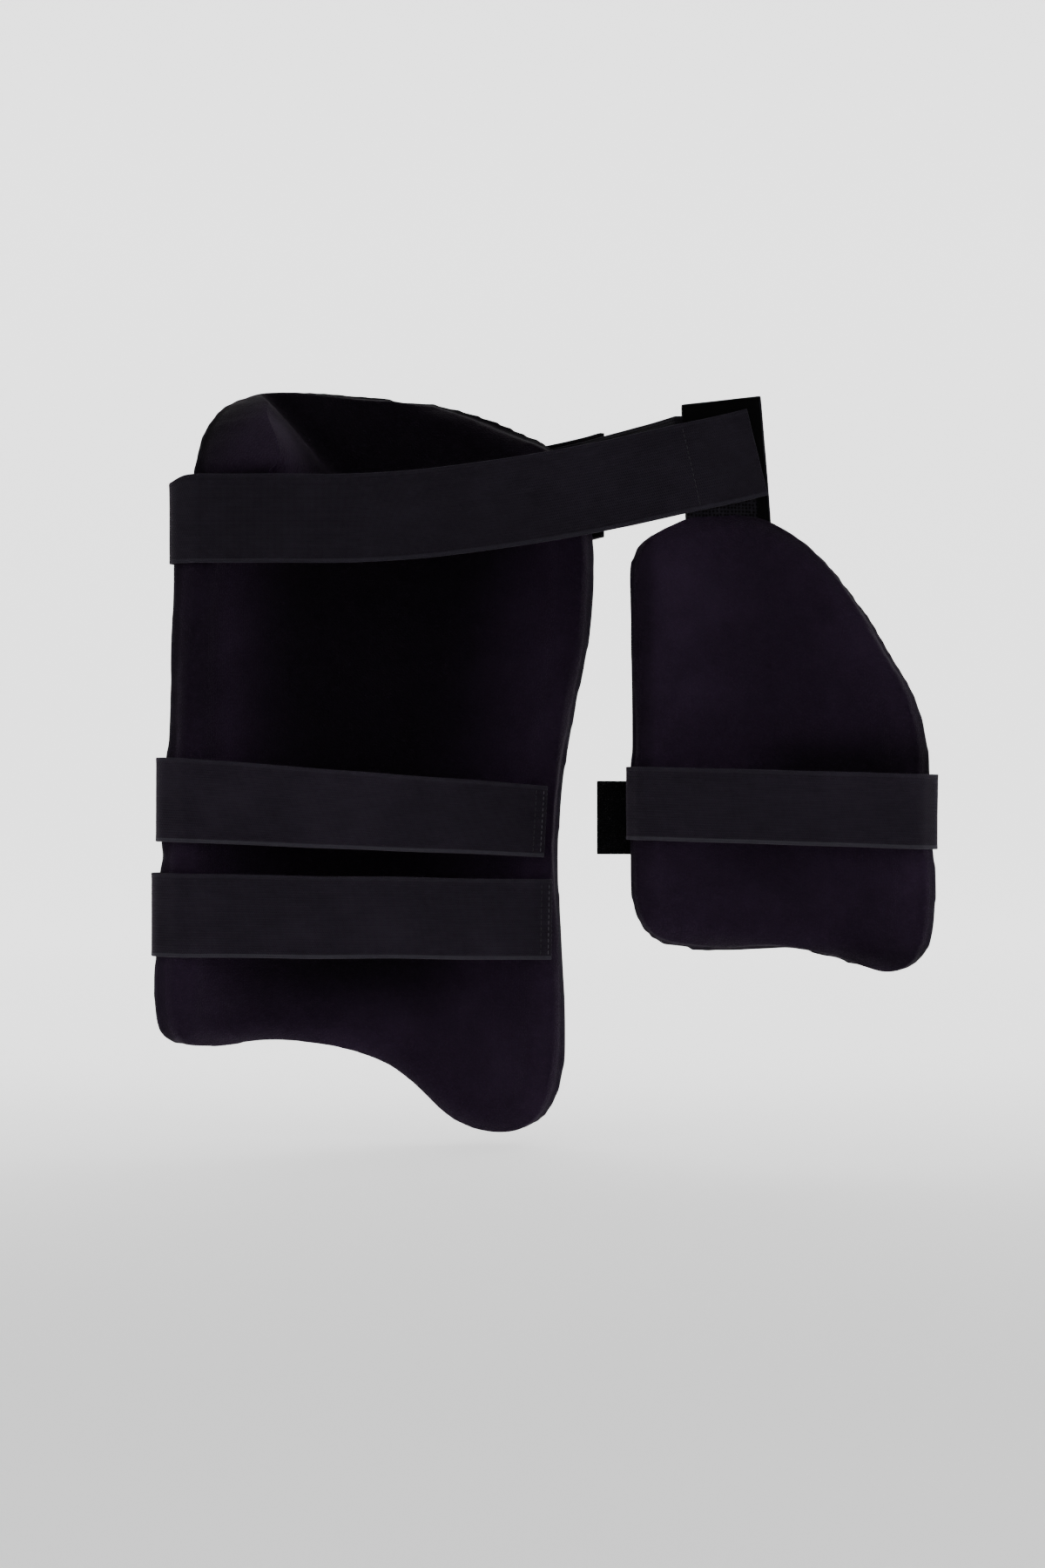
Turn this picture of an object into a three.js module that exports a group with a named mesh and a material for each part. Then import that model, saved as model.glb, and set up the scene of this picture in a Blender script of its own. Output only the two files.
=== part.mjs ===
// Cricket thigh guard: a large outer thigh pad and a small inner thigh pad that share one elastic waist belt.
// Millimetres, +Z up. The body side of both pads faces -Y, as somebody behind the wearer sees them.
// The origin is the middle of the waist belt's loop. Heights are Z, and depths are Y.
import * as THREE from "three";

// Cloth and clearances
const seamGap = 0.4; // between two layers that are sewn or glued together
const strapGap = 0.4; // between a strap and what it lies on
const webbingThickness = 1.5;
const tabThickness = 1.6;

// Large pad, moulded round the outside of the thigh
const thighPad = {
  name: "thigh_pad",
  width: 226,
  height: 425,
  left: -165,
  top: 70,
  rimDepth: -42, // depth of the left rim, the foremost part
  wrapLeft: 66, // degrees round the thigh, from the deepest line
  wrapRight: 44,
  linerThickness: 14,
  shellThickness: 10,
  shellRise: 4.5, // the shell stands this far above the liner along the top
  shellDrop: 0,
  outlineSteps: 92,
};
// Side edges by height, as shares of the width from the pad's left, and how far the rim leans back
const thighSections = [
  { up: 0.0, left: -0.012, right: 0.952, back: -0.03 },
  { up: 0.24, left: -0.016, right: 0.952, back: -0.02 },
  { up: 0.37, left: -0.006, right: 0.945, back: -0.008 },
  { up: 0.46, left: 0.002, right: 0.955, back: 0.0 },
  { up: 0.56, left: 0.008, right: 0.984, back: 0.008 },
  { up: 0.65, left: 0.013, right: 1.012, back: 0.013 },
  { up: 0.76, left: 0.022, right: 1.026, back: 0.025 },
  { up: 0.88, left: 0.028, right: 1.024, back: 0.07 },
  { up: 1.0, left: 0.03, right: 1.02, back: 0.11 },
];
// Outline seen from the front: across between the side edges, up from the pad's lowest point
const thighOutline = [
  { across: 0.0, up: 0.5 },
  { across: 0.0, up: 0.25 },
  { across: 0.0, up: 0.205 },
  { across: 0.003, up: 0.159 },
  { across: 0.014, up: 0.133 },
  { across: 0.06, up: 0.123 },
  { across: 0.134, up: 0.12 },
  { across: 0.211, up: 0.123 },
  { across: 0.324, up: 0.121 },
  { across: 0.441, up: 0.11 },
  { across: 0.535, up: 0.092 },
  { across: 0.631, up: 0.056 },
  { across: 0.703, up: 0.023 },
  { across: 0.775, up: 0.005 },
  { across: 0.858, up: 0.0 },
  { across: 0.929, up: 0.011 },
  { across: 0.97, up: 0.038 },
  { across: 0.993, up: 0.077 },
  { across: 1.0, up: 0.123 },
  { across: 1.0, up: 0.25 },
  { across: 1.0, up: 0.5 },
  { across: 1.0, up: 0.76 },
  { across: 0.996, up: 0.81 },
  { across: 0.98, up: 0.86 },
  { across: 0.916, up: 0.92 },
  { across: 0.829, up: 0.943 },
  { across: 0.72, up: 0.968 },
  { across: 0.609, up: 0.984 },
  { across: 0.498, up: 0.992 },
  { across: 0.389, up: 0.996 },
  { across: 0.26, up: 1.0 },
  { across: 0.198, up: 0.9995 },
  { across: 0.136, up: 0.995 },
  { across: 0.086, up: 0.975 },
  { across: 0.049, up: 0.94 },
  { across: 0.034, up: 0.893 },
  { across: 0.017, up: 0.841 },
  { across: 0.003, up: 0.785 },
  { across: 0.0, up: 0.7 },
];
// Places where the foam swells towards the body, in shares of the outline's own width and height
const thighSwells = [{ across: 0.02, up: 0.885, wide: 0.2, high: 0.075, rise: 36 }];

// Small pad, worn inside the other thigh
const innerPad = {
  name: "inner_pad",
  width: 164,
  height: 253,
  left: 90.5,
  top: -7,
  rimDepth: -55,
  wrapLeft: 34,
  wrapRight: 52,
  linerThickness: 12,
  shellThickness: 8,
  shellRise: 0,
  shellDrop: 4.5, // the shell hangs this far below the liner along the bottom
  outlineSteps: 72,
};
const innerSections = [
  { up: 0.0, left: -0.01, right: 0.965, back: -0.03 },
  { up: 0.27, left: -0.01, right: 0.965, back: -0.01 },
  { up: 0.5, left: -0.01, right: 0.945, back: 0.0 },
  { up: 0.75, left: -0.008, right: 0.925, back: 0.0 },
  { up: 1.0, left: -0.006, right: 0.91, back: 0.02 },
];
const innerOutline = [
  { across: 0.0, up: 0.5 },
  { across: 0.0, up: 0.223 },
  { across: 0.01, up: 0.138 },
  { across: 0.046, up: 0.089 },
  { across: 0.111, up: 0.068 },
  { across: 0.2, up: 0.0585 },
  { across: 0.319, up: 0.054 },
  { across: 0.466, up: 0.0557 },
  { across: 0.582, up: 0.0506 },
  { across: 0.696, up: 0.036 },
  { across: 0.807, up: 0.013 },
  { across: 0.887, up: 0.002 },
  { across: 0.952, up: 0.023 },
  { across: 0.99, up: 0.077 },
  { across: 1.0, up: 0.151 },
  { across: 1.0, up: 0.272 },
  { across: 1.0, up: 0.448 },
  { across: 0.995, up: 0.523 },
  { across: 0.968, up: 0.607 },
  { across: 0.914, up: 0.688 },
  { across: 0.833, up: 0.79 },
  { across: 0.722, up: 0.893 },
  { across: 0.637, up: 0.943 },
  { across: 0.512, up: 0.986 },
  { across: 0.42, up: 0.999 },
  { across: 0.3, up: 1.0 },
  { across: 0.188, up: 0.992 },
  { across: 0.128, up: 0.976 },
  { across: 0.052, up: 0.952 },
  { across: 0.018, up: 0.926 },
  { across: 0.0, up: 0.9 },
  { across: 0.0, up: 0.75 },
];
const innerSwells = [];

// Fineness of bands: the longest step along one, how far a step may cut a bend, and the shortest step
const bandStep = 12;
const bandStray = 0.12;
const shortestStep = 0.6;
const roundSteps = 12;

// Round of the moulded rim: how far in from the edge, and how high, as a share of the layer's thickness. Where the
// foam swells, the rim rises by a share of the swell, and is rounded further in by another.
const linerRim = [
  { inset: 1.2, rise: 0.02, swell: 0.0, round: 0.0 },
  { inset: 0.0, rise: 0.16, swell: 0.08, round: 0.0 },
  { inset: 0.0, rise: 0.66, swell: 0.5, round: 0.01 },
  { inset: 1.6, rise: 0.88, swell: 0.8, round: 0.08 },
  { inset: 5.0, rise: 1.0, swell: 0.97, round: 0.19 },
  { inset: 11.0, rise: 0.98, swell: 1.0, round: 0.3 },
  { inset: 17.0, rise: 0.82, swell: 0.95, round: 0.4 },
];
const shellRim = [
  { inset: 1.2, rise: 0.02, swell: 0.0, round: 0.0 },
  { inset: 0.0, rise: 0.22, swell: 0.0, round: 0.0 },
  { inset: 1.6, rise: 0.62, swell: 0.0, round: 0.0 },
  { inset: 5.5, rise: 0.9, swell: 0.0, round: 0.0 },
  { inset: 14.0, rise: 1.0, swell: 0.0, round: 0.0 },
];
// Rings between the rim and the middle of each pad, as shares of the way to the middle
const seamRings = [0.3, 0.62];
const bodyRings = [0.12, 0.28, 0.48, 0.72];
const coverRings = [0.3, 0.62];

// Straps: heights at the left and right ends of the run across the front
const upperStrap = { left: -164.5, right: -177, heightLeft: 46.5, heightRight: 40, end: 41.5, backRun: 62 };
const lowerStrap = { left: -228, right: -232, heightLeft: 46, heightRight: 45, end: 44.5, backRun: 62 };
const innerStrap = { left: -166.5, right: -171, heightLeft: 40, heightRight: 40.5, backRun: 40 };
const strapTail = { reach: 20.5, height: 40.5, level: -174.5, hold: 14 };

// Waist belt, its hanger on the small pad and its carrier on the large one
const waistBelt = {
  height: 49,
  levelLeft: -9.5, // where it crosses the large pad
  levelRight: 27.5, // where it ends on the hanger
  bendStart: -70, // across, where the front run begins to climb
  climbPower: 1.6,
  backLevelRight: 22.5,
  backClimbPower: 1.2,
};
const hanger = {
  leftBottom: 119,
  leftTop: 116.6,
  rightBottom: 166,
  rightTop: 160.4,
  topLeft: 53.5,
  topRight: 59,
  endInset: 2.5, // the belt stops this far short of the right edge
};
const carrier = { hold: 49, beyond: 12, above: 2.6, below: 8, thickness: 1.4 }; // hold and beyond: either side of the large pad's right edge

const toRadians = THREE.MathUtils.degToRad;

// A value of a column between the rows of a table, as a smooth curve through the rows
function readTable(rows, key, column, at) {
  const last = rows.length - 1;
  if (at <= rows[0][key]) return rows[0][column];
  if (at >= rows[last][key]) return rows[last][column];
  const next = rows.findIndex((row) => row[key] >= at);
  const slope = (i) => {
    const before = rows[Math.max(i - 1, 0)];
    const after = rows[Math.min(i + 1, last)];
    return (after[column] - before[column]) / (after[key] - before[key]);
  };
  const low = rows[next - 1];
  const high = rows[next];
  const span = high[key] - low[key];
  const t = (at - low[key]) / span;
  const fall = (1 - t) ** 2;
  const climb = t ** 2;
  return (
    low[column] * (1 + 2 * t) * fall +
    high[column] * (3 - 2 * t) * climb +
    slope(next - 1) * span * t * fall -
    slope(next) * span * (1 - t) * climb
  );
}

// The thigh that a pad is moulded round: a point at an angle round it, a height, and a distance out from the seam
class PadForm {
  constructor(pad, sections) {
    this.pad = pad;
    this.bottom = pad.top - pad.height;
    this.sections = sections;
    this.sineLeft = Math.sin(toRadians(pad.wrapLeft));
    this.sineRight = Math.sin(toRadians(pad.wrapRight));
    this.meanRadius = pad.width / (this.sineLeft + this.sineRight);
  }
  sides(z) {
    const { pad, sections } = this;
    const up = (z - this.bottom) / pad.height;
    const left = pad.left + pad.width * readTable(sections, "up", "left", up);
    const right = pad.left + pad.width * readTable(sections, "up", "right", up);
    return { left, right, back: pad.width * readTable(sections, "up", "back", up) };
  }
  angleAt(across) {
    return Math.asin(-this.sineLeft + across * (this.sineLeft + this.sineRight));
  }
  acrossAt(angle) {
    return (Math.sin(angle) + this.sineLeft) / (this.sineLeft + this.sineRight);
  }
  point(angle, z, out) {
    const { left, right, back } = this.sides(z);
    const radius = (right - left) / (this.sineLeft + this.sineRight);
    const rimCosine = Math.cos(toRadians(this.pad.wrapLeft));
    const x = left + radius * this.sineLeft + (radius + out) * Math.sin(angle);
    const y = this.pad.rimDepth + back + (radius + out) * Math.cos(angle) - radius * rimCosine;
    return new THREE.Vector3(x, y, z);
  }
}

// The pad's outline, laid flat: x is the distance round the thigh from its deepest line, y is the height
function flatOutline(form, outline) {
  const { pad } = form;
  const corners = outline.map(
    ({ across, up }) =>
      new THREE.Vector3(form.meanRadius * form.angleAt(across), form.bottom + up * pad.height, 0),
  );
  const curve = new THREE.CatmullRomCurve3(corners, true, "centripetal");
  const points = curve.getSpacedPoints(pad.outlineSteps).slice(0, pad.outlineSteps);
  return points.map((p) => new THREE.Vector2(p.x, p.y));
}

// The outline moved inwards by a distance, which may differ from point to point
function insetOutline(points, distanceAt) {
  const count = points.length;
  return points.map((p, i) => {
    const before = points[(i + count - 1) % count];
    const after = points[(i + 1) % count];
    const along = after.clone().sub(before).normalize();
    const distance = distanceAt(p);
    return new THREE.Vector2(p.x - along.y * distance, p.y + along.x * distance);
  });
}

// The outline drawn in towards the middle by a share
function shrinkOutline(points, middle, share) {
  return points.map((p) => p.clone().lerp(middle, share));
}

function swellAt(form, swells, flat) {
  const across = form.acrossAt(flat.x / form.meanRadius);
  const up = (flat.y - form.bottom) / form.pad.height;
  return swells.reduce((sum, s) => {
    const reach = ((across - s.across) / s.wide) ** 2 + ((up - s.up) / s.high) ** 2;
    return sum + s.rise * Math.exp(-reach);
  }, 0);
}

// One layer of a pad, from its seam face round the rim to its open face. side is -1 for the body side, +1 outside.
function padLayer(form, outline, swells, rim, thickness, side) {
  const middle = new THREE.Vector2(0, form.bottom + form.pad.height / 2);
  const seam = side * (seamGap / 2);
  const swell = (p) => swellAt(form, swells, p);
  const insetOf = (row) => (p) => row.inset + row.round * swell(p);
  const lastRim = insetOutline(outline, insetOf(rim.at(-1)));
  const rings = [];
  const addRing = (flat, out) => rings.push(flat.map((p) => ({ flat: p, out: out(p) })));
  const seamEdge = insetOutline(outline, insetOf(rim[0]));
  [...seamRings].reverse().forEach((share) => addRing(shrinkOutline(seamEdge, middle, share), () => seam));
  rim.forEach((row) =>
    addRing(insetOutline(outline, insetOf(row)), (p) => seam + side * (row.rise * thickness + row.swell * swell(p))),
  );
  const faceRings = side < 0 ? bodyRings : coverRings;
  const faceRise = rim.at(-1).rise * thickness;
  const faceOut = (p) => seam + side * (faceRise + swell(p));
  faceRings.forEach((share) => addRing(shrinkOutline(lastRim, middle, share), faceOut));
  const positions = [];
  const toRow = ({ flat, out }) => form.point(flat.x / form.meanRadius, flat.y, out);
  rings.flat().forEach((vertex) => positions.push(...toRow(vertex).toArray()));
  const seamMiddle = positions.length / 3;
  positions.push(...toRow({ flat: middle, out: seam }).toArray());
  positions.push(...toRow({ flat: middle, out: faceOut(middle) }).toArray());
  const count = outline.length;
  const index = [];
  const face = (a, b, c) => index.push(...(side < 0 ? [a, b, c] : [a, c, b]));
  for (let i = 0; i < count; i++) {
    const next = (i + 1) % count;
    for (let ring = 0; ring < rings.length - 1; ring++) {
      const near = ring * count;
      const far = near + count;
      face(near + i, near + next, far + next);
      face(near + i, far + next, far + i);
    }
    face(seamMiddle, next, i);
    const lastRing = (rings.length - 1) * count;
    face(seamMiddle + 1, lastRing + i, lastRing + next);
  }
  return solidGeometry(positions, index);
}

function solidGeometry(positions, index) {
  const geometry = new THREE.BufferGeometry();
  geometry.setAttribute("position", new THREE.Float32BufferAttribute(positions, 3));
  geometry.setIndex(index);
  geometry.computeVertexNormals();
  return geometry;
}

// The convex hull of points in plan, anticlockwise from above
function planHull(points) {
  const sorted = [...points].sort((a, b) => a.x - b.x || a.y - b.y);
  const turn = (o, a, b) => (a.x - o.x) * (b.y - o.y) - (a.y - o.y) * (b.x - o.x);
  const half = (list) => {
    const chain = [];
    list.forEach((p) => {
      while (chain.length > 1 && turn(chain.at(-2), chain.at(-1), p) <= 1e-6) chain.pop();
      chain.push(p);
    });
    return chain.slice(0, -1);
  };
  return [...half(sorted), ...half([...sorted].reverse())];
}

// Calls back with both ends of every edge of some solids
function eachEdge(geometries, use) {
  geometries.forEach((geometry) => {
    const position = geometry.getAttribute("position");
    const index = geometry.getIndex();
    for (let i = 0; i < index.count; i++) {
      const start = new THREE.Vector3().fromBufferAttribute(position, index.getX(i));
      const end = new THREE.Vector3().fromBufferAttribute(position, index.getX(i % 3 === 2 ? i - 2 : i + 1));
      use(start, end);
    }
  });
}

// Plan points of solids between two heights
function planSlice(geometries, low, high) {
  const found = [];
  eachEdge(geometries, (start, end) => {
    if (start.z >= low && start.z <= high) found.push(new THREE.Vector2(start.x, start.y));
    [low, high].forEach((level) => {
      if ((start.z - level) * (end.z - level) >= 0) return;
      const cut = start.clone().lerp(end, (level - start.z) / (end.z - start.z));
      found.push(new THREE.Vector2(cut.x, cut.y));
    });
  });
  return found;
}

// The highest level of solids at a place across
function topAt(geometries, x) {
  let top = -Infinity;
  eachEdge(geometries, (start, end) => {
    if ((start.x - x) * (end.x - x) > 0 || start.x === end.x) return;
    top = Math.max(top, THREE.MathUtils.lerp(start.z, end.z, (x - start.x) / (end.x - start.x)));
  });
  return top;
}

// The plan line of a band pulled tight round the points: their hull grown by a clearance, anticlockwise from above
function tightLine(points, clearance, guides = []) {
  const grown = planHull(points).flatMap((p) =>
    Array.from({ length: roundSteps }, (_, i) => {
      const angle = (i / roundSteps) * Math.PI * 2;
      return new THREE.Vector2(p.x + clearance * Math.cos(angle), p.y + clearance * Math.sin(angle));
    }),
  );
  return planHull([...grown, ...guides]);
}

// A closed line cut open, with points where it bends and along its straight runs. Lengths run anticlockwise from
// its leftmost point.
function cutLine(line, from, to) {
  const first = line.reduce((best, p, i) => (p.x < line[best].x ? i : best), 0);
  const turned = [...line.slice(first), ...line.slice(0, first), line[first]];
  const marks = [0];
  turned.slice(1).forEach((p, i) => marks.push(marks[i] + p.distanceTo(turned[i])));
  const whole = marks.at(-1);
  const at = (length) => {
    const wrapped = ((length % whole) + whole) % whole;
    const next = Math.max(1, marks.findIndex((mark) => mark >= wrapped));
    const share = (wrapped - marks[next - 1]) / (marks[next] - marks[next - 1]);
    return turned[next - 1].clone().lerp(turned[next], share);
  };
  const corners = [-whole, 0, whole]
    .flatMap((lap) => marks.slice(0, -1).map((mark) => mark + lap))
    .filter((mark) => mark > from + shortestStep && mark < to - shortestStep);
  const strays = (start, end, mark) => {
    const [a, b, p] = [at(start), at(end), at(mark)];
    const chord = b.clone().sub(a).normalize();
    return Math.abs(chord.cross(p.sub(a))) > bandStray;
  };
  const kept = [from];
  corners.forEach((mark, i) => {
    const passed = corners.slice(0, i + 1).filter((other) => other > kept.at(-1));
    const next = corners[i + 1] ?? to;
    const long = mark - kept.at(-1) > shortestStep;
    if (long && passed.some((other) => strays(kept.at(-1), next, other))) kept.push(mark);
  });
  kept.push(to);
  return kept.flatMap((mark, i) => {
    if (i === 0) return [at(mark)];
    const span = mark - kept[i - 1];
    const steps = Math.max(1, Math.round(span / bandStep));
    return Array.from({ length: steps }, (_, k) => at(kept[i - 1] + (span * (k + 1)) / steps));
  });
}

// Length along a closed line, anticlockwise from its leftmost point, at which the front run reaches a place
function lengthTo(line, x) {
  const first = line.reduce((best, p, i) => (p.x < line[best].x ? i : best), 0);
  const turned = [...line.slice(first), ...line.slice(0, first)];
  let length = 0;
  for (let i = 1; i < turned.length; i++) {
    const [start, end] = [turned[i - 1], turned[i]];
    if (end.x >= x) return length + start.distanceTo(end) * ((x - start.x) / (end.x - start.x));
    length += start.distanceTo(end);
  }
  return length;
}

// A band that stands on a plan line. shape gives its level and height at each point of the line.
function bandGeometry(line, shape, thickness) {
  const last = line.length - 1;
  const shapes = line.map(shape);
  const positions = [];
  line.forEach((p, i) => {
    const before = line[Math.max(i - 1, 0)];
    const after = line[Math.min(i + 1, last)];
    const along = after.clone().sub(before).normalize();
    const outward = new THREE.Vector2(along.y, -along.x);
    const climb = shapes[Math.min(i + 1, last)].level - shapes[Math.max(i - 1, 0)].level;
    const slope = climb / after.distanceTo(before);
    const half = shapes[i].height / 2 / Math.hypot(1, slope);
    [-half, half].forEach((rise, edge) => {
      const base = p.clone().addScaledVector(along, -slope * rise);
      const faces = edge === 0 ? [0, thickness] : [thickness, 0];
      faces.forEach((out) => {
        const q = base.clone().addScaledVector(outward, out);
        positions.push(q.x, q.y, shapes[i].level + rise);
      });
    });
  });
  return tubeOfCorners(positions, 4);
}

// A closed solid from sections of a few corners each, one after another
function tubeOfCorners(positions, corners) {
  const sections = positions.length / 3 / corners;
  const index = [];
  for (let section = 0; section < sections - 1; section++) {
    for (let corner = 0; corner < corners; corner++) {
      const near = section * corners;
      const next = (corner + 1) % corners;
      index.push(near + corner, near + corners + next, near + next);
      index.push(near + corner, near + corners + corner, near + corners + next);
    }
  }
  const end = (sections - 1) * corners;
  // The ends are closed strip by strip across the section
  for (let i = 0; i < corners / 2 - 1; i++) {
    const [a, b] = [i, i + 1];
    const [c, d] = [corners - 2 - i, corners - 1 - i];
    index.push(a, c, d, a, b, c);
    index.push(end + a, end + d, end + c, end + a, end + c, end + b);
  }
  return solidGeometry(positions, index);
}

const materials = {
  padLining: new THREE.MeshStandardMaterial({ color: 0x16121a, roughness: 0.85, metalness: 0 }),
  padCover: new THREE.MeshStandardMaterial({ color: 0x0d0b10, roughness: 0.8, metalness: 0 }),
  elastic: new THREE.MeshStandardMaterial({ color: 0x1b1a21, roughness: 0.9, metalness: 0 }),
  webbing: new THREE.MeshStandardMaterial({ color: 0x0b0a0d, roughness: 0.9, metalness: 0 }),
};

const thighGuard = new THREE.Group();

function addPiece(name, geometry, material) {
  const piece = new THREE.Mesh(geometry, material);
  piece.name = name;
  thighGuard.add(piece);
  return piece;
}

// The two layers of a pad. The shell's outline stands above or hangs below the liner's.
function addPad(pad, sections, outlineTable, swells) {
  const form = new PadForm(pad, sections);
  const outline = flatOutline(form, outlineTable);
  const middle = form.bottom + pad.height / 2;
  const shellOutline = outline.map((p) => {
    const share = THREE.MathUtils.smoothstep(Math.abs(p.y - middle) / pad.height, 0.36, 0.46);
    const spread = 1 - THREE.MathUtils.smoothstep(Math.abs(p.x) / form.meanRadius, 0.35, 0.75);
    return new THREE.Vector2(p.x, p.y + share * spread * (p.y > middle ? pad.shellRise : -pad.shellDrop));
  });
  const liner = padLayer(form, outline, swells, linerRim, pad.linerThickness, -1);
  const shell = padLayer(form, shellOutline, [], shellRim, pad.shellThickness, 1);
  addPiece(pad.name + "_liner", liner, materials.padLining);
  addPiece(pad.name + "_shell", shell, materials.padCover);
  return { form, liner, shell };
}

const thigh = addPad(thighPad, thighSections, thighOutline, thighSwells);
const inner = addPad(innerPad, innerSections, innerOutline, innerSwells);

// What a strap lies on, between its lowest and highest edge
function padSlice(pad, strap) {
  const levels = [strap.left, strap.right];
  const reach = Math.max(strap.heightLeft, strap.heightRight) / 2;
  return planSlice([pad.liner, pad.shell], Math.min(...levels) - reach, Math.max(...levels) + reach);
}

// Level and height of a strap, changing evenly from its left edge to its right
function strapShape(strap, left, right) {
  return (p) => {
    const across = THREE.MathUtils.clamp((p.x - left) / (right - left), 0, 1);
    const level = THREE.MathUtils.lerp(strap.left, strap.right, across);
    return { level, height: THREE.MathUtils.lerp(strap.heightLeft, strap.heightRight, across) };
  };
}

function addThighStrap(name, strap) {
  const line = tightLine(padSlice(thigh, strap), strapGap);
  const cut = cutLine(line, -strap.backRun, lengthTo(line, strap.end));
  const shape = strapShape(strap, thighPad.left, strap.end);
  addPiece(name, bandGeometry(cut, shape, webbingThickness), materials.elastic);
}

addThighStrap("upper_thigh_strap", upperStrap);
addThighStrap("lower_thigh_strap", lowerStrap);

// The small pad's strap goes round both of its edges. The tail lies on its outer end.
function addInnerStrap() {
  const line = tightLine(padSlice(inner, innerStrap), strapGap);
  const right = Math.max(...line.map((p) => p.x));
  const front = lengthTo(line, right - 0.01);
  const cut = cutLine(line, -innerStrap.backRun, front + innerStrap.backRun);
  const shape = strapShape(innerStrap, innerPad.left, right);
  addPiece("inner_pad_strap", bandGeometry(cut, shape, webbingThickness), materials.elastic);
}
addInnerStrap();

function addStrapTail() {
  const under = innerPad.shellThickness + seamGap / 2 + strapGap + webbingThickness + seamGap;
  const angle = -toRadians(strapTail.hold);
  const start = inner.form.point(angle, strapTail.level, under + seamGap);
  const seat = new THREE.Vector2(start.x, start.y);
  const reach = (start.x - innerPad.left + strapTail.reach) / Math.cos(angle);
  const end = seat.clone().add(new THREE.Vector2(-Math.cos(angle), Math.sin(angle)).multiplyScalar(reach));
  const shape = () => ({ level: strapTail.level, height: strapTail.height });
  addPiece("inner_strap_tail", bandGeometry([seat, end], shape, webbingThickness), materials.webbing);
}
addStrapTail();

// The hanger is a tab folded over at its top. The belt's rear end is sewn between its two layers.
const slotHalf = webbingThickness / 2 + seamGap;
const hangerHalf = slotHalf + tabThickness;
const hangerSeat = [hanger.leftBottom, hanger.rightBottom].map((x) => {
  const seat = inner.form.point(inner.form.angleAt((x - innerPad.left) / innerPad.width), innerPad.top, -0.5);
  return new THREE.Vector2(x, seat.y);
});
const hangerAlong = hangerSeat[1].clone().sub(hangerSeat[0]).normalize();
const hangerFront = new THREE.Vector2(hangerAlong.y, -hangerAlong.x);

// A point in plan on the hanger's middle line, or in front of it
function hangerPoint(x, front) {
  const share = (x - hangerSeat[0].x) / (hangerSeat[1].x - hangerSeat[0].x);
  return hangerSeat[0].clone().lerp(hangerSeat[1], share).addScaledVector(hangerFront, front);
}

function addHanger() {
  const corners = [1, 1, 0.7, 0, -0.7, -1, -1]; // towards the front, as shares of the half thickness
  const drops = [null, 1, 0.3, 0, 0.3, 1, null]; // below the fold; the first and last are the lower edge
  const sections = 8;
  const positions = [];
  for (let section = 0; section <= sections; section++) {
    const across = section / sections;
    const foot = THREE.MathUtils.lerp(hanger.leftBottom, hanger.rightBottom, across);
    const head = THREE.MathUtils.lerp(hanger.leftTop, hanger.rightTop, across);
    const bottom = topAt([inner.liner, inner.shell], foot) + seamGap;
    const top = THREE.MathUtils.lerp(hanger.topLeft, hanger.topRight, across);
    const layer = (half, fold) =>
      corners.map((front, i) => {
        const level = drops[i] === null ? bottom : fold - drops[i] * half;
        const x = THREE.MathUtils.lerp(foot, head, (level - bottom) / (top - bottom));
        const plan = hangerPoint(x, front * half);
        return [plan.x, plan.y, level];
      });
    positions.push(...layer(hangerHalf, top).flat());
    positions.push(...layer(slotHalf, top - tabThickness).reverse().flat());
  }
  addPiece("belt_hanger", tubeOfCorners(positions, corners.length * 2), materials.webbing);
}
addHanger();

// The waist belt leaves the hanger to the left, goes round the outside of the large pad and comes back across the
// front to the hanger's face
const beltEnd = hanger.rightTop - hanger.endInset;
const beltRear = hanger.leftTop - 3;

function waistLines() {
  const low = waistBelt.levelLeft - waistBelt.height / 2;
  const high = waistBelt.backLevelRight + waistBelt.height / 2;
  const slice = planSlice([thigh.liner, thigh.shell], low, high);
  const slot = [beltEnd, beltRear].map((x) => hangerPoint(x, webbingThickness / 2));
  const rear = tightLine(slice, strapGap, [slot[1]]);
  const rearWhole = rear.reduce((sum, p, i) => sum + p.distanceTo(rear[(i + 1) % rear.length]), 0);
  const rearRun = cutLine(rear, lengthTo(rear, slot[1].x - 0.01) - rearWhole, 0);
  const face = [hanger.leftTop, beltEnd].map((x) => hangerPoint(x, hangerHalf + seamGap));
  const front = tightLine(slice, strapGap, face);
  const frontRun = cutLine(front, 0, lengthTo(front, face[1].x - 0.01));
  return { rear: [slot[0], slot[0].clone().lerp(slot[1], 0.5), ...rearRun], front: frontRun.slice(1) };
}

const waist = waistLines();

function rearLevel(p) {
  const share = THREE.MathUtils.clamp((p.x - thighPad.left) / (beltRear - thighPad.left), 0, 1);
  return THREE.MathUtils.lerp(waistBelt.levelLeft, waistBelt.backLevelRight, share ** waistBelt.backClimbPower);
}

function frontLevel(p) {
  const share = Math.max(0, (p.x - waistBelt.bendStart) / (beltEnd - waistBelt.bendStart));
  return THREE.MathUtils.lerp(waistBelt.levelLeft, waistBelt.levelRight, share ** waistBelt.climbPower);
}

function beltShape(p, i) {
  return { level: i < waist.rear.length ? rearLevel(p) : frontLevel(p), height: waistBelt.height };
}
const waistBand = bandGeometry([...waist.rear, ...waist.front], beltShape, webbingThickness);
addPiece("waist_belt", waistBand, materials.elastic);

// The part of a line that runs right to left between two places
function partOfLine(line, left, right) {
  return line.flatMap((p, i) => {
    const before = line[i - 1];
    const cuts = [right, left]
      .filter((x) => before && before.x > x && p.x <= x)
      .map((x) => before.clone().lerp(p, (before.x - x) / (before.x - p.x)));
    return p.x > left && p.x < right ? [...cuts, p] : cuts;
  });
}

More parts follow.
